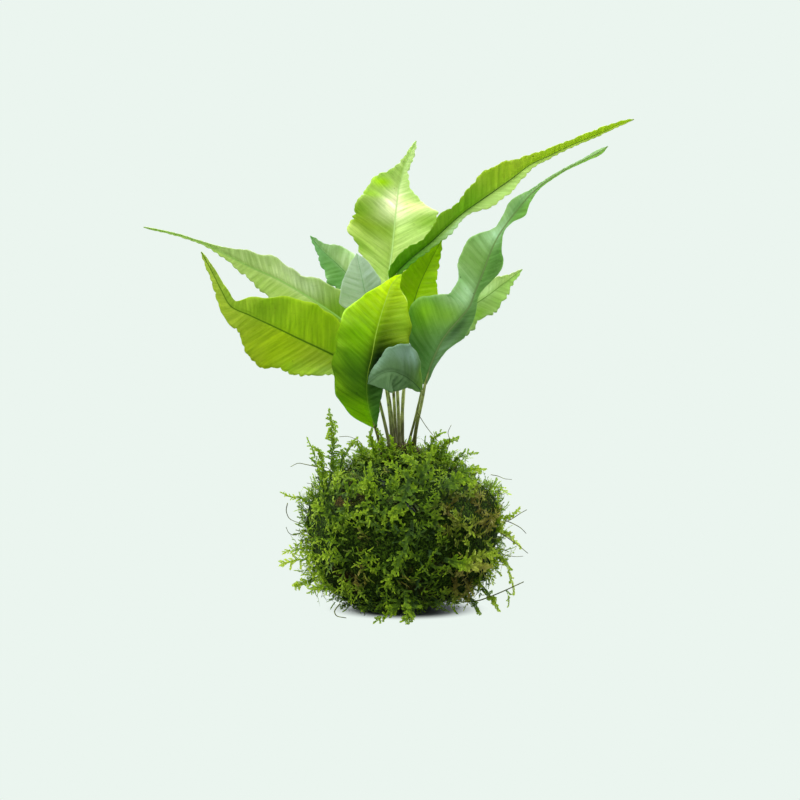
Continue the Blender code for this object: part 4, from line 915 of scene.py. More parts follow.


# Fronds: eleven leaves of different ages, each on a wiry olive stalk that rises from the rhizome. A blade
# is a thin soft sheet with a raised midrib, slanting side veins, a ruffled toothed margin and a drawn-out
# tip.

# What each frond is made from. Left and right are as on a blade that points up and is seen from the front.
# stalk: its points, from the rhizome up.
# rib: points of the midrib, each with how wide the blade is on its left and on its right.
# fold: how far the left and the right half turn to the front, in degrees.
# ruffle: how high its waves are, how many there are, and where in a wave the blade starts.
# teeth: how strong they are on the left and on the right.
# slot: the name of its finish.
# left, right: the tints of each half near the stalk, in the middle and near the tip. Painted light and
# shade are in them, as the painted shadow on the right half of the front blade.
# midrib: its tint. midrib_from: where along the blade it comes up plainly, if not at the stalk.
# pleats: how plain the side veins are.
# touches: marks of colour, painted sheen and painted shade among them beside the leaf's own lighter and
# darker patches, each with its place along the blade, from 0 to 1, and across it, from the right margin at -1
# to the left one at 1, how far it reaches both ways, its colour, and how strong it is.
FRONDS = {
    "left_low": {
        "stalk": ((-4.6, -4.2, 56.4), (-7.3, -4.8, 68.0), (-10.0, -5.2, 78.2)),
        "rib": (
            (-10.0, -5.2, 78.2, 0.7, 0.7),
            (-15.9, -6.5, 82.1, 5.5, 6.0),
            (-22.7, -9.0, 85.6, 7.8, 9.6),
            (-27.6, -11.0, 88.1, 11.4, 11.8),
            (-34.5, -13.5, 91.5, 12.6, 13.4),
            (-40.5, -16.0, 94.6, 14.6, 12.4),
            (-46.2, -18.0, 97.4, 11.2, 9.6),
            (-49.7, -19.0, 99.1, 7.8, 7.2),
            (-55.8, -20.5, 102.2, 4.0, 2.7),
            (-58.6, -21.5, 107.2, 2.4, 2.0),
            (-61.8, -22.0, 113.7, 1.3, 1.2),
            (-65.0, -22.0, 119.6, 0.4, 0.4),
        ),
        "fold": (-15, 20),
        "ruffle": (0.9, 5, 0.0),
        "teeth": (0.95, 0.15),
        "slot": "leaf_yellow",
        "left": ((168, 188, 76), (166, 186, 30), (168, 188, 84)),
        "right": ((170, 196, 26), (161, 191, 38), (160, 182, 80)),
        "midrib": (84, 128, 24),
        "pleats": 0.34,
        "touches": (
            # Painted sheen, pale, near the stalk by the left margin.
            (0.12, 0.9, 0.1, 0.35, (206, 224, 170), 0.75),
            (0.3, 0.85, 0.12, 0.3, (178, 212, 70), 0.5),
            (0.6, -0.5, 0.06, 0.6, (130, 164, 30), 0.5),
            (0.45, 0.4, 0.1, 0.4, (186, 212, 40), 0.4),
            (0.2, -0.6, 0.06, 0.5, (160, 200, 70), 0.5),
        ),
    },
    "left_high": {
        "stalk": ((-3.6, -2.1, 56.8), (-5.3, 0.2, 72.4), (-7.7, 2.0, 83.2)),
        "rib": (
            (-7.7, 2.0, 83.2, 0.7, 0.7),
            (-13.0, 4.0, 90.2, 5.0, 5.2),
            (-21.2, 6.0, 97.4, 8.5, 8.5),
            (-30.0, 9.0, 103.2, 9.0, 8.3),
            (-35.2, 11.5, 106.3, 8.0, 6.2),
            (-39.9, 14.0, 108.9, 7.6, 6.4),
            (-44.4, 16.0, 111.1, 6.7, 7.5),
            (-50.1, 18.0, 113.5, 4.2, 6.2),
            (-55.5, 20.0, 115.9, 2.5, 5.2),
            (-60.9, 22.0, 118.7, 1.4, 2.6),
            (-67.7, 24.0, 122.0, 0.6, 0.8),
            (-76.5, 26.0, 125.0, 0.5, 0.5),
            (-89.3, 28.0, 127.9, 0.28, 0.28),
        ),
        "fold": (10, 30),
        "ruffle": (0.9, 5, 1.5),
        "teeth": (1.1, 0.25),
        "slot": "leaf_pale",
        "left": ((147, 174, 40), (167, 191, 107), (160, 188, 96)),
        "right": ((138, 172, 46), (173, 191, 138), (160, 186, 100)),
        "midrib": (168, 208, 120),
        "pleats": 0.3,
        "touches": (
            # Painted sheen: a pale band on the right half.
            (0.36, -0.45, 0.08, 0.5, (204, 218, 182), 0.8),
            (0.47, -0.3, 0.09, 0.3, (194, 210, 158), 0.6),
            (0.2, -0.2, 0.1, 0.6, (134, 172, 20), 0.7),
            (0.36, 0.5, 0.12, 0.4, (170, 198, 90), 0.4),
        ),
    },
    "front": {
        "stalk": ((-7.5, -4.6, 54.4), (-8.3, -6.2, 58.4), (-9.2, -8.0, 61.6)),
        "rib": (
            (-9.2, -8.0, 61.6, 0.7, 0.7),
            (-11.2, -12.5, 68.2, 8.8, 3.7),
            (-11.8, -16.5, 74.9, 11.7, 5.2),
            (-11.4, -19.0, 80.1, 12.9, 8.2),
            (-10.1, -21.0, 85.7, 13.3, 10.2),
            (-8.8, -22.0, 92.7, 13.4, 11.2),
            (-6.9, -21.5, 99.8, 11.4, 9.7),
            (-5.4, -20.5, 104.3, 7.3, 7.4),
            (-3.2, -18.2, 109.7, 2.1, 2.8),
            (-0.5, -16.0, 112.2, 0.5, 0.5),
        ),
        "fold": (-22, 2),
        "ruffle": (0.7, 5, 0.8),
        "teeth": (0.15, 0.2),
        "slot": "leaf_yellow",
        "left": ((142, 188, 10), (98, 150, 18), (200, 228, 0)),
        # The right half's middle tint is dark with the painted shadow of the young front blade.
        "right": ((92, 138, 60), (40, 84, 12), (180, 212, 20)),
        "midrib": (190, 220, 80),
        "midrib_from": 0.6,
        "pleats": 0.38,
        "touches": (
            (0.34, 0.35, 0.1, 0.4, (64, 114, 22), 0.75),
            (0.6, 0.5, 0.14, 0.6, (136, 188, 8), 0.7),
            # Painted shadow of the young front blade on the right half.
            (0.46, -0.22, 0.14, 0.32, (14, 44, 6), 1.0),
            (0.14, 0.4, 0.08, 0.6, (134, 180, 12), 0.6),
            (0.24, 0.2, 0.05, 0.5, (60, 110, 16), 0.6),
            (0.72, -0.7, 0.1, 0.35, (174, 212, 60), 0.5),
            (0.66, 0.9, 0.3, 0.15, (170, 212, 40), 0.5),
        ),
    },
    "back_centre": {
        "stalk": ((-2.3, -0.3, 56.9), (-3.2, 2.4, 73.1), (-4.6, 6.0, 89.6), (-4.8, 9.0, 102.6)),
        "rib": (
            (-4.8, 9.0, 102.6, 0.7, 0.7),
            (-5.1, 11.0, 107.9, 4.0, 4.2),
            (-4.4, 14.0, 114.6, 8.6, 8.0),
            (-3.6, 16.5, 120.6, 13.6, 10.6),
            (-3.2, 18.0, 124.8, 16.0, 12.2),
            (-2.8, 19.6, 129.0, 15.0, 13.8),
            (-2.4, 21.2, 133.2, 13.8, 14.6),
            (-2.0, 22.4, 136.4, 12.6, 9.4),
            (-1.5, 23.6, 140.4, 10.4, 5.2),
            (-0.6, 24.5, 144.0, 7.6, 2.8),
            (0.2, 25.0, 147.2, 3.4, 1.6),
            (1.4, 25.6, 150.6, 1.7, 1.9),
            (4.6, 26.0, 157.4, 0.4, 0.4),
        ),
        "fold": (14, 14),
        "ruffle": (1.1, 5, 2.2),
        "teeth": (1.35, 1.3),
        "slot": "leaf_pale",
        "left": ((194, 216, 134), (140, 176, 6), (190, 212, 140)),
        "right": ((194, 210, 132), (192, 218, 130), (190, 212, 146)),
        "midrib": (206, 234, 160),
        "pleats": 0.36,
        "touches": (
            (0.4, 0.95, 0.04, 0.25, (222, 236, 150), 0.6),
            (0.48, 0.55, 0.07, 0.4, (132, 164, 20), 0.6),
            # Painted sheen, nearly white, in the middle of the blade and on its right half.
            (0.6, 0.05, 0.1, 0.45, (250, 252, 222), 0.88),
            (0.71, 0.65, 0.025, 0.35, (178, 216, 4), 0.95),
            (0.64, 0.8, 0.025, 0.35, (180, 222, 50), 0.6),
            (0.5, -0.75, 0.05, 0.4, (150, 186, 60), 0.75),
            (0.6, -0.5, 0.05, 0.4, (234, 240, 170), 0.7),
            (0.34, 0.3, 0.06, 0.4, (200, 216, 140), 0.5),
        ),
    },
    "back_left": {
        "stalk": ((-3.6, 1.5, 56.2), (-5.6, 4.6, 73.0), (-10.5, 9.6, 94.0), (-14.1, 12.0, 104.2)),
        "rib": (
            (-14.1, 12.0, 104.2, 0.7, 0.7),
            (-16.9, 14.0, 109.3, 5.6, 4.6),
            (-20.0, 16.0, 113.0, 6.8, 6.4),
            (-23.7, 18.0, 116.5, 5.0, 6.2),
            (-27.4, 19.6, 119.8, 2.2, 3.0),
            (-31.6, 21.0, 124.9, 0.4, 0.4),
        ),
        "fold": (20, 20),
        "ruffle": (0.6, 3, 0.5),
        "teeth": (1.0, 0.4),
        "slot": "leaf_green",
        "left": ((110, 162, 84), (116, 166, 92), (130, 178, 116)),
        "right": ((166, 190, 130), (172, 194, 142), (140, 176, 122)),
        "midrib": (92, 150, 80),
        "pleats": 0.24,
        "touches": (
            (0.3, -0.9, 0.2, 0.3, (196, 228, 170), 0.6),
            (0.5, 0.5, 0.2, 0.4, (108, 162, 66), 0.5),
        ),
    },
    "young_left": {
        "stalk": ((-2.5, -4.0, 56.8), (-4.9, -4.8, 73.5), (-8.0, -5.4, 88.0), (-10.6, -6.0, 99.0)),
        "rib": (
            (-10.6, -6.0, 99.0, 0.7, 0.7),
            (-11.8, -7.0, 103.6, 8.6, 3.4),
            (-12.8, -8.0, 107.6, 8.4, 5.6),
            (-13.6, -9.0, 111.6, 6.0, 5.0),
            (-14.4, -9.6, 115.2, 3.8, 3.4),
            (-15.2, -10.0, 119.0, 0.6, 0.6),
        ),
        "fold": (-10, -10),
        "ruffle": (0.5, 2, 0.0),
        "teeth": (0.15, 0.15),
        "slot": "leaf_teal",
        "left": ((168, 186, 152), (172, 190, 164), (180, 198, 172)),
        "right": ((162, 182, 152), (172, 190, 168), (182, 200, 178)),
        "midrib": (136, 182, 132),
        "pleats": 0.16,
        "touches": (
            (0.3, 0.4, 0.25, 0.5, (188, 204, 184), 0.5),
            (0.2, -0.5, 0.2, 0.4, (146, 172, 136), 0.5),
        ),
    },
    "right_high": {
        "stalk": ((-1.2, -2.3, 56.9), (-1.9, -1.6, 73.9), (-3.5, 0.0, 93.0), (-4.0, 2.0, 108.4)),
        "rib": (
            (-4.0, 2.0, 108.4, 0.7, 0.7),
            (-2.1, 3.0, 112.2, 3.4, 1.8),
            (3.0, 4.0, 117.4, 4.2, 2.6),
            (9.0, 5.5, 122.3, 2.9, 3.0),
            (14.8, 7.0, 127.7, 5.3, 4.2),
            (20.2, 8.5, 132.4, 4.6, 2.2),
            (26.0, 10.0, 136.5, 7.2, 6.0),
            (31.5, 11.5, 140.3, 8.3, 6.2),
            (37.3, 13.0, 144.4, 6.8, 4.2),
            (42.8, 14.5, 148.6, 3.9, 2.3),
            (48.8, 15.5, 151.5, 2.8, 1.5),
            (57.1, 16.5, 155.4, 2.2, 1.1),
            (67.4, 17.5, 159.7, 1.9, 1.0),
            (74.3, 18.0, 162.9, 1.0, 0.8),
            (78.2, 18.0, 164.2, 0.4, 0.4),
        ),
        "fold": (28, 55),
        "ruffle": (0.9, 6, 0.4),
        "teeth": (0.7, 1.2),
        "slot": "leaf_green",
        "left": ((102, 156, 20), (163, 186, 62), (176, 200, 56)),
        "right": ((92, 150, 44), (172, 196, 104), (170, 196, 60)),
        "midrib": (58, 104, 24),
        "pleats": 0.3,
        "touches": (
            (0.36, 0.4, 0.1, 0.6, (120, 172, 40), 0.6),
            (0.5, -0.6, 0.16, 0.5, (190, 222, 140), 0.6),
            (0.28, -0.8, 0.06, 0.4, (184, 214, 170), 0.6),
        ),
    },
    "right_low": {
        "stalk": ((3.8, -2.6, 57.0), (4.4, -4.6, 61.3), (6.5, -9.0, 71.8), (7.2, -10.5, 76.0)),
        "rib": (
            (7.2, -10.5, 76.0, 0.8, 0.8),
            (9.1, -13.0, 82.6, 5.2, 2.8),
            (10.7, -14.2, 86.6, 10.4, 4.0),
            (12.5, -15.0, 90.4, 13.2, 7.0),
            (14.7, -16.0, 93.6, 15.4, 8.4),
            (18.0, -16.5, 97.4, 11.8, 7.6),
            (21.4, -17.0, 101.6, 8.2, 4.0),
            (23.6, -17.5, 107.2, 6.8, 2.8),
            (25.9, -18.0, 113.0, 8.5, 7.6),
            (27.5, -18.0, 117.4, 9.0, 8.2),
            (29.4, -18.5, 122.0, 6.8, 4.4),
            (31.6, -19.0, 126.0, 2.6, 1.4),
            (34.4, -19.5, 130.0, 2.6, 2.2),
            (36.8, -20.0, 133.0, 3.8, 4.8),
            (39.1, -20.5, 135.9, 2.6, 3.2),
            (41.7, -21.0, 138.7, 1.3, 1.6),
            (48.7, -22.0, 144.0, 0.6, 0.8),
            (58.7, -23.5, 149.4, 0.6, 1.1),
            (62.8, -24.0, 151.5, 0.8, 1.5),
            (65.6, -24.0, 153.3, 0.4, 0.4),
        ),
        "fold": (-8, -50),
        "ruffle": (0.7, 6, 0.0),
        "teeth": (0.25, 0.2),
        "slot": "leaf_teal",
        "left": ((120, 162, 98), (136, 172, 96), (172, 202, 146)),
        "right": ((128, 164, 108), (142, 186, 104), (164, 198, 112)),
        "midrib": (150, 168, 116),
        "pleats": 0.26,
        "touches": (
            (0.12, 0.5, 0.07, 0.5, (76, 122, 44), 0.6),
            (0.2, 0.7, 0.05, 0.35, (132, 178, 16), 0.85),
            (0.24, 0.3, 0.05, 0.3, (136, 178, 34), 0.6),
            (0.33, 0.4, 0.05, 0.5, (186, 214, 176), 0.75),
            (0.37, 0.9, 0.04, 0.4, (170, 204, 150), 0.5),
            (0.16, -0.45, 0.07, 0.35, (168, 196, 160), 0.6),
            (0.22, -0.3, 0.06, 0.25, (64, 100, 50), 0.6),
            (0.46, -0.6, 0.07, 0.5, (104, 152, 66), 0.6),
            (0.56, 0.1, 0.05, 0.8, (192, 220, 186), 0.9),
            (0.66, 0.3, 0.05, 0.6, (124, 168, 106), 0.6),
            (0.72, 0.0, 0.04, 1.0, (172, 206, 160), 0.5),
        ),
    },
    "right_back": {
        "stalk": ((-0.2, -0.2, 56.8), (0.3, 1.2, 74.1), (3.0, 3.6, 86.3), (9.7, 6.0, 94.5)),
        "rib": (
            (9.7, 6.0, 94.5, 0.7, 0.7),
            (16.0, 8.5, 97.2, 5.2, 7.4),
            (22.6, 11.5, 100.8, 5.8, 5.8),
            (28.8, 14.5, 104.7, 5.4, 5.8),
            (33.7, 17.0, 108.3, 3.6, 3.4),
            (37.1, 18.5, 110.8, 1.6, 1.6),
            (40.7, 20.0, 113.5, 0.4, 0.4),
        ),
        "fold": (35, 15),
        "ruffle": (0.8, 4, 0.6),
        "teeth": (0.6, 1.5),
        "slot": "leaf_pale",
        "left": ((132, 166, 96), (180, 202, 138), (184, 204, 138)),
        "right": ((128, 164, 96), (156, 188, 106), (170, 206, 110)),
        "midrib": (120, 164, 70),
        "pleats": 0.3,
        "touches": (
            (0.6, 0.4, 0.14, 0.4, (206, 228, 180), 0.7),
            (0.42, -0.6, 0.1, 0.4, (136, 182, 40), 0.6),
        ),
    },
    "back_right": {
        "stalk": ((-1.2, 1.7, 56.2), (0.3, 4.0, 73.0), (0.6, 5.5, 87.6)),
        "rib": (
            (0.6, 5.5, 87.6, 0.7, 0.7),
            (1.7, 6.0, 94.4, 5.0, 4.6),
            (3.4, 6.5, 101.6, 7.0, 7.0),
            (5.4, 7.0, 108.0, 7.2, 6.6),
            (8.1, 7.5, 114.0, 5.6, 4.0),
            (10.9, 8.0, 119.6, 2.3, 2.2),
            (13.0, 8.0, 123.6, 0.4, 0.4),
        ),
        "fold": (10, 18),
        "ruffle": (0.6, 4, 2.0),
        "teeth": (0.6, 0.9),
        "slot": "leaf_yellow",
        "left": ((138, 176, 2), (148, 186, 2), (160, 196, 14)),
        "right": ((146, 182, 4), (156, 192, 6), (160, 196, 14)),
        "midrib": (84, 126, 14),
        "pleats": 0.3,
        "touches": (
            (0.7, -0.6, 0.1, 0.4, (156, 196, 30), 0.5),
            (0.3, -0.5, 0.1, 0.4, (118, 156, 2), 0.5),
        ),
    },
    "young_front": {
        "stalk": ((1.9, -3.9, 56.4), (3.6, -7.4, 63.0), (5.2, -13.5, 70.4), (6.0, -18.0, 74.4)),
        "rib": (
            (6.0, -18.0, 74.4, 0.7, 0.7),
            (3.2, -23.4, 77.6, 2.6, 4.4),
            (-0.3, -27.4, 80.2, 5.4, 9.6),
            (-3.8, -29.0, 81.4, 7.2, 8.2),
            (-7.0, -29.4, 80.6, 6.4, 4.0),
            (-9.6, -29.2, 78.9, 3.4, 1.8),
            (-11.4, -29.0, 77.4, 0.4, 0.4),
        ),
        "fold": (10, -12),
        "ruffle": (0.5, 3, 0.0),
        "teeth": (0.4, 0.7),
        "slot": "leaf_teal",
        "left": ((122, 162, 86), (110, 148, 92), (104, 140, 92)),
        "right": ((130, 168, 80), (110, 146, 92), (112, 148, 104)),
        "midrib": (84, 116, 76),
        "pleats": 0.22,
        "touches": (
            (0.5, -0.75, 0.14, 0.3, (150, 182, 162), 0.8),
            (0.25, -0.9, 0.1, 0.25, (132, 168, 60), 0.7),
            (0.75, -0.8, 0.12, 0.3, (160, 196, 170), 0.7),
            (0.4, 0.4, 0.2, 0.4, (98, 136, 82), 0.6),
        ),
    },
}
AWAY = np.array((0.0, 1.0, 0.0))  # the way that the backs of the blades face
STATION = 0.5  # from point to point along a blade
HALF_COLUMNS = 11  # points from the midrib to the margin
NARROWEST = 0.28  # half width of a blade at its thinnest
BLADE_THICKNESS = 0.42  # at the midrib
MARGIN_SHARE = 0.5  # of that, at the margin
TOOTH = 0.8  # how deep the teeth are cut
TOOTH_LENGTH = 3.0  # from tooth to tooth
LOBE = 0.35  # the margin also swings out and in by this, a swing for each
LOBE_LENGTH = 9.0
CRINKLE = 0.35  # the small waves of the ruffle, one for each
CRINKLE_LENGTH = 7.0
RUN_OUT = 2.5  # the blade narrows at its tip over a little less than this
PLEAT_LENGTH = 2.3  # from side vein to side vein
PLEAT = 0.22  # how high the quilting between them is
VEIN_SLANT = 0.55  # how far the side veins run on towards the tip, for each millimetre across
RIB_RIDGE = 0.35  # how far the midrib stands out at the back
RIB_WIDTH = 0.5  # about half the width of its stripe at the stalk
TINT_STATIONS = (0.1, 0.45, 0.95)  # where along the blade its three tints are
TINT_GAIN = 1.15  # the blades are this much lighter than their tints
BLADE_MARKS = ("vein_run", "off_rib", "margin", "rib_width", "pleats")  # kept at each point of a blade


def length_of(rows):
    """The length of the line through the rows."""
    return float(np.linalg.norm(np.diff(np.array(rows, float)[:, :3], axis=0), axis=1).sum())


def half_tint(stops, share):
    """The tint of half a blade at this share of its length."""
    tints = np.array([seen(*colour) for colour in stops])
    return np.array([np.interp(share, TINT_STATIONS, tints[:, part]) for part in range(3)])


def tint_at(frond, share, column):
    """The colour of the blade at this share of its length and this far across it, right -1 to left 1."""
    own, other = ("left", "right") if column > 0 else ("right", "left")
    colour = half_tint(frond[own], share)
    colour = colour + (half_tint(frond[other], share) - colour) * max(0.0, 0.5 - 4 * abs(column))
    # The touches lay painted sheen and shade, and the leaf's own patches, over the tints.
    for place, aside, reach, breadth, touch, strength in frond["touches"]:
        weight = strength * math.exp(-(((share - place) / reach) ** 2) - ((column - aside) / breadth) ** 2)
        colour = colour + (np.array(seen(*touch)) - colour) * weight
    return np.minimum(TINT_GAIN * colour, 0.95)


def blade_mesh(name, frond, seed):
    """The blade as a net of points over its surface, and which of them are on the midrib. Each point keeps
    its colour, the colour and width of the midrib beside it, and the marks that the side veins are drawn by."""
    length = length_of(frond["rib"])
    stations = round(length / STATION)
    shares = np.linspace(0, 1, stations + 1)
    rows = along(frond["rib"], shares)
    rows[:, 3:] = np.maximum(rows[:, 3:], NARROWEST)
    tangent = unit(np.gradient(rows[:, :3], axis=0))
    side = unit(np.cross(tangent, AWAY))
    front = np.cross(tangent, side)
    height, waves, phase = frond["ruffle"]
    columns = np.linspace(-1, 1, 2 * HALF_COLUMNS + 1)
    chance = random.Random(seed)
    starts = [chance.uniform(0, 6.3) for _ in range(8)][::2]

    form = bmesh.new()
    layers = form.verts.layers
    for label in ("tint", "midrib"):
        layers.float_color.new(label)
    for label in BLADE_MARKS:
        layers.float.new(label)
    bmesh.ops.create_grid(form, x_segments=stations, y_segments=2 * HALF_COLUMNS, size=1.0)
    ordered = sorted(form.verts, key=lambda corner: (round(corner.co.x, 5), round(corner.co.y, 5)))
    tint, midrib = layers.float_color["tint"], layers.float_color["midrib"]
    marks = [layers.float[label] for label in BLADE_MARKS]
    for number, corner in enumerate(ordered):
        station, place = divmod(number, len(columns))
        column, share, row = columns[place], shares[station], rows[station]
        sided = 0 if column > 0 else 1
        half = row[3 + sided]
        swell = min(1.0, (row[3] + row[4]) / 14.0)
        reach = share * length
        # The margin is toothed, jagged and lobed, and the blade narrows at its tip.
        uneven = noise.noise(Vector((reach / 4.0, 5.0 * sided + seed, 3.0)))
        turn = reach / TOOTH_LENGTH + 0.6 * uneven + 0.5 * math.sin(5 * share + starts[sided])
        scallop = (abs(math.sin(math.pi * turn)) ** 0.55 - 0.75) * (1.0 + 1.2 * uneven)
        jag = noise.noise(Vector((reach / 1.3, 9.0 * sided + seed, 0.0)))
        lobe = math.sin(2 * math.pi * reach / LOBE_LENGTH + starts[sided + 2])
        edge = frond["teeth"][sided] * TOOTH * (scallop + 0.45 * jag) + LOBE * lobe * swell
        half += max(-0.13 * half, min(0.25 * half, edge)) * abs(column) ** 6
        half *= min(1.0, 0.3 + (1 - share) * length / RUN_OUT)
        # Each half is folded, ruffled and crinkled, with quilting between its side veins.
        off_rib = abs(column) * half
        run = reach - VEIN_SLANT * off_rib
        wave = height * swell * math.sin(2 * math.pi * waves * share + phase + (1.3 if column < 0 else 0.0))
        fine = math.sin(2 * math.pi * reach / CRINKLE_LENGTH + starts[sided] + 2 * abs(column))
        fine *= CRINKLE * swell
        fold = math.radians(frond["fold"][sided])
        across = math.copysign(1.0, column) * math.cos(fold) * side[station] + math.sin(fold) * front[station]
        pleat = math.sin(2 * math.pi * run / PLEAT_LENGTH + 2.0 * noise.noise(Vector((run / 6, seed, sided))))
        pleat *= PLEAT * swell * min(1.0, off_rib / 2.0) * (1 - abs(column) ** 4)
        ridge = RIB_RIDGE * math.exp(-((off_rib / 0.6) ** 2)) * min(1.0, half / 4.0)
        out = row[:3] + off_rib * across + ((wave + fine) * column**2 + pleat - ridge) * front[station]
        corner.co = out * MM
        # The midrib's stripe thins out towards the tip.
        corner[tint] = (*tint_at(frond, share, column), 1.0)
        corner[midrib] = (*seen(*frond["midrib"]), 1.0)
        rib_width = RIB_WIDTH * (1 - 0.75 * share) * min(1.0, length / 60)
        rib_width *= min(1.0, 0.12 + (share / frond.get("midrib_from", 0.01)) ** 4)
        values = (run, math.copysign(off_rib, column), abs(column), rib_width, frond["pleats"])
        for layer, value in zip(marks, values):
            corner[layer] = value
    form.verts.index_update()
    rib = [corner.index for number, corner in enumerate(ordered) if number % len(columns) == HALF_COLUMNS]
    return mesh_of(form, name), rib


# One finish for every blade: streaks along the side veins, from broad soft pleats to fine veins, and specks
# of age on some stretches. The lighter streaks are a painted sheen on the quilting, and a painted highlight
# runs along the margin.
SPECK_RAGGEDNESS = 0.9 * MM
leaf, tree, output = material("fern_blade")
place = place_in(tree)
tint, midrib = kept(tree, "tint", "Color"), kept(tree, "midrib", "Color")
run, off_rib, margin, rib_width, pleats = (kept(tree, label) for label in BLADE_MARKS)
distance = maths(tree, "ABSOLUTE", off_rib)
half_seed = maths(tree, "MULTIPLY", maths(tree, "SIGN", off_rib), 7.0)


def streaks(across, along_vein):
    """A pattern drawn out along the side veins, with this many turns to the millimetre each way."""
    on_blade = {0: maths(tree, "MULTIPLY", run, across), 1: maths(tree, "MULTIPLY", distance, along_vein)}
    over = put(tree, "ShaderNodeCombineXYZ", {**on_blade, 2: half_seed})
    return grain(tree, over.outputs[0], 1.0, 2.0, 0.6)[0]


def between(tree, share, low, high, strength=None):
    """How far a value is from low to high, eased at both ends, and times a strength if one is given."""
    feeds = {0: share, 1: low, 2: high}
    made = put(tree, "ShaderNodeMapRange", feeds, interpolation_type="SMOOTHSTEP").outputs[0]
    return made if strength is None else maths(tree, "MULTIPLY", made, strength)


broad, narrow, veins = streaks(0.34, 0.05), streaks(1.0, 0.07), streaks(2.6, 0.12)
mottle = grain(tree, place, 900.0, 4.0, 0.65)[0]
# lighter is the tint turned pale and bluish: a painted sheen.
lighter = blend(tree, 1.0, tint, (1.42, 1.3, 1.7), "MULTIPLY")
darker = blend(tree, 1.0, tint, (0.6, 0.7, 0.5), "MULTIPLY")
colour = tint
for pattern, low, high, strength, shade in (
    (broad, 0.48, 0.66, 1.5, lighter),
    (narrow, 0.46, 0.66, 1.0, darker),
    (narrow, 0.48, 0.3, 1.0, lighter),
    (veins, 0.54, 0.68, 0.8, darker),
):
    share = between(tree, pattern, low, high, maths(tree, "MULTIPLY", pleats, strength))
    colour = blend(tree, share, colour, shade)
colour = blend(tree, between(tree, mottle, 0.5, 0.85, 0.6), colour, darker)
ragged = put(tree, "ShaderNodeTexNoise", {"Vector": place, "Scale": 1800.0}).outputs["Color"]
feeds = {0: ragged, 1: (SPECK_RAGGEDNESS,) * 3, 2: place}
warped = put(tree, "ShaderNodeVectorMath", feeds, operation="MULTIPLY_ADD")
spots = put(tree, "ShaderNodeTexVoronoi", {"Vector": warped.outputs[0], "Scale": 420.0, "Randomness": 1.0})
dots = ramp(tree, spots.outputs["Distance"], [(0.03, (1, 1, 1)), (0.14, (0, 0, 0))])
chosen = ramp(tree, spots.outputs["Color"], [(0.8, (0, 0, 0)), (0.83, (1, 1, 1))])
aged = between(tree, grain(tree, place, 55.0, 2.0)[0], 0.44, 0.54, 0.8)
dots = maths(tree, "MULTIPLY", maths(tree, "MULTIPLY", dots, chosen), aged)
colour = blend(tree, dots, colour, seen(40, 52, 24))
flank = maths(tree, "DIVIDE", distance, maths(tree, "MULTIPLY", rib_width, 1.5))
colour = blend(tree, between(tree, flank, 1.0, 0.55, 0.5), colour, darker)
colour = blend(tree, between(tree, flank, 0.6, 0.3, 0.85), colour, midrib)
# A painted highlight along the margin.
colour = blend(tree, between(tree, margin, 0.94, 1.0, 0.5), colour, lighter)
rough = maths(tree, "MULTIPLY_ADD", mottle, 0.3, 0.3)
fine = maths(tree, "MULTIPLY_ADD", veins, 0.5, maths(tree, "MULTIPLY", mottle, 0.5))
level = maths(tree, "MULTIPLY_ADD", narrow, 0.8, fine)
level = maths(tree, "MULTIPLY", level, between(tree, distance, 0.3, 1.4))
relief = put(tree, "ShaderNodeBump", {"Height": level, "Strength": 0.6, "Distance": 0.3 * MM})
thin_coat(tree, output, colour, rough, colour, 0.5, relief.outputs[0])

# The stalks are mottled along their length, and darken over their lowest 13 mm.
STALK_FOOT = (70.0, 57.0)  # the height where the dark begins, and where it is full
stem, tree, output = material("wiry_stalk")
place = place_in(tree)
stretched = put(tree, "ShaderNodeMapping", {"Vector": place, "Scale": (1.0, 1.0, 0.35)}).outputs[0]
mottle, relief = grain(tree, stretched, 800.0, 3.0, 0.7, strength=0.4, depth=0.15)
olives = [(0.32, seen(66, 68, 32)), (0.46, seen(136, 148, 72)), (0.7, seen(190, 202, 124))]
colour = ramp(tree, mottle, olives)
above = put(tree, "ShaderNodeSeparateXYZ", {"Vector": place}).outputs["Z"]
at_foot = between(tree, above, STALK_FOOT[0] * MM, STALK_FOOT[1] * MM, 0.75)
colour = blend(tree, at_foot, colour, seen(58, 50, 26))
coat(tree, output, colour, 0.42, relief)

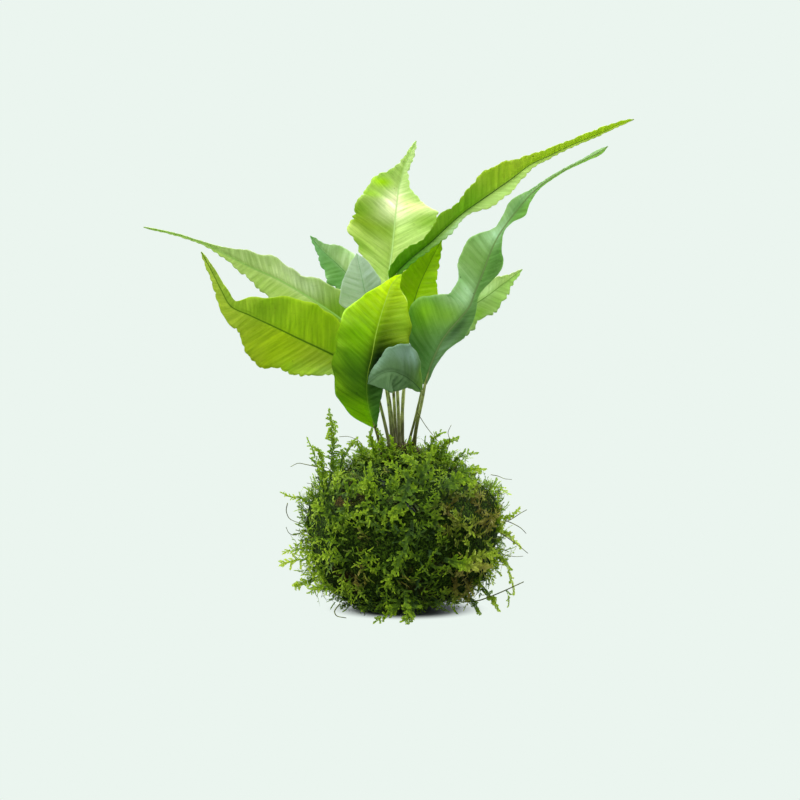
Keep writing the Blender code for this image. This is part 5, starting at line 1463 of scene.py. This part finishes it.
ROOTING = 3.4  # how far a stalk goes on down into the rhizome, wider at its foot
INTO_BLADE = 0.045  # how far it runs on under the blade, as a share of the blade
STALK_STATIONS = 28
STALK_GIRTH = {"young_front": 0.68, "back_left": 0.68, "young_left": 0.68, "right_low": 1.0}
USUAL_GIRTH = 0.9  # of the other stalks
for number, (name, frond) in enumerate(FRONDS.items()):
    rows = along(frond["stalk"], np.linspace(0, 1, STALK_STATIONS))
    foot = rows[0] - ROOTING * unit(rows[1] - rows[0])
    onward = along(frond["rib"], np.linspace(0, INTO_BLADE, 6))[1:, :3]
    line = np.concatenate([foot[None], rows, onward])
    upward = np.linspace(0.66, 0.48, STALK_STATIONS - 1)
    radii = np.concatenate([[1.0, 0.8], upward, np.linspace(0.42, 0.12, len(onward))])
    radii *= STALK_GIRTH.get(name, USUAL_GIRTH)
    mesh = round_bars(f"frond_{name}_stem", [np.column_stack([line, radii])], 10)
    ride_as(add_piece(f"frond_{name}_stem", mesh, stem), "stalk", f"frond_{name}_stalk")

    mesh, rib = blade_mesh(f"frond_{name}_leaf", frond, number)
    made = add_piece(f"frond_{name}_leaf", mesh, leaf)
    made.vertex_groups.new(name="rib").add(rib, 1.0, "REPLACE")
    skin = made.modifiers.new("thickness", "SOLIDIFY")
    skin.thickness = BLADE_THICKNESS * MM
    skin.offset = 0.0
    skin.vertex_group = "rib"
    skin.thickness_vertex_group = MARGIN_SHARE
    ride_as(made, frond["slot"], f"frond_{name}_blade")


# Studio: a pale mint bowl of paper that runs up all round the table, soft lights from above and behind, and
# a long lens a little above the level of the ball.
PAPER = seen(235, 245, 239)
MATT = (0.34, 0.37, 0.39)  # the paper under the ball, where the shadow falls
# The bowl from its middle to its rim, in metres.
BOWL_PROFILE = ((0.0, 0.0), (1.0, 0.0), (2.4, 0.0), (3.0, 0.06), (3.6, 0.3), (3.9, 0.8), (3.95, 1.3))
MATT_OVAL = (24.0, 13.0)  # how far from the ball's foot the matt patch begins to show, and where it is full
form = bmesh.new()
line = [form.verts.new((x, 0, z)) for x, z in BOWL_PROFILE]
edges = [form.edges.new(pair) for pair in zip(line, line[1:])]
bmesh.ops.spin(
    form, geom=line + edges, cent=(0, 0, 0), axis=(0, 0, 1), angle=2 * math.pi, steps=64, use_merge=True
)
bmesh.ops.remove_doubles(form, verts=form.verts, dist=0.0001)
bmesh.ops.recalc_face_normals(form, faces=form.faces)
mesh = mesh_of(form, "paper_bowl")

# The paper is lit from behind, so that it looks even, and shines half as brightly on the plant as to the
# eye. In an oval under the ball it is matt, and the plant's shadow falls there.
paper, tree, output = material("pale_paper")
feeds = {"Vector": place_in(tree), "Location": (-1.0 * MM, 0.0, 0.0), "Scale": (0.86, 1.0, 1.0)}
oval = put(tree, "ShaderNodeMapping", feeds)
off_ball = put(tree, "ShaderNodeVectorMath", {0: oval.outputs[0]}, operation="LENGTH").outputs["Value"]
near = between(tree, off_ball, MATT_OVAL[0] * MM, MATT_OVAL[1] * MM)
to_eye = put(tree, "ShaderNodeLightPath", {}).outputs["Is Camera Ray"]
brightness = maths(tree, "MULTIPLY_ADD", to_eye, 0.5, 0.5)
matt = put(tree, "ShaderNodeBsdfDiffuse", {"Color": (*MATT, 1.0)})
lit = put(tree, "ShaderNodeEmission", {"Color": (*PAPER, 1.0), "Strength": brightness})
both = put(tree, "ShaderNodeMixShader", {0: near, 1: lit.outputs[0], 2: matt.outputs[0]})
tree.links.new(both.outputs[0], output.inputs[0])
add_piece("paper_bowl", mesh, paper)

world = bpy.data.worlds.new("studio")
world.use_nodes = True
sky = world.node_tree.nodes["Background"].inputs
sky["Color"].default_value = (1.0, 1.0, 1.0, 1.0)
sky["Strength"].default_value = 0.85
bpy.context.scene.world = world
bpy.context.scene.view_settings.view_transform = "Standard"

# Each lamp: its bearing from the front, its height and the width of its light in degrees, and its strength.
for name, bearing, height, width, strength in (
    ("key_front", -35, 52, 50, 2.7),
    ("back_left", -128, 30, 24, 3.4),
    ("back_right", 128, 30, 24, 3.4),
    ("top_back", 180, 66, 40, 2.3),
):
    lamp = bpy.data.lights.new(name, "SUN")
    lamp.angle = math.radians(width)
    lamp.energy = strength
    made = bpy.data.objects.new(name, lamp)
    turn, tilt = math.radians(bearing), math.radians(height)
    source = Vector((math.sin(turn) * math.cos(tilt), -math.cos(turn) * math.cos(tilt), math.sin(tilt)))
    made.rotation_euler = (-source).to_track_quat("-Z", "Y").to_euler()
    bpy.context.scene.collection.objects.link(made)

AIM = Vector((-1.0, 0.0, 70.2)) * MM  # the point that the lens looks at
ELEVATION = math.radians(4.0)
DISTANCE = 741.0 * MM
lens = bpy.data.cameras.new("camera")
lens.lens = 100.0
lens.sensor_width = 36.0
lens.clip_end = 50.0
camera = bpy.data.objects.new("camera", lens)
camera.location = AIM + DISTANCE * Vector((0.0, -math.cos(ELEVATION), math.sin(ELEVATION)))
camera.rotation_euler = (math.pi / 2 - ELEVATION, 0.0, 0.0)
bpy.context.scene.collection.objects.link(camera)
bpy.context.scene.camera = camera
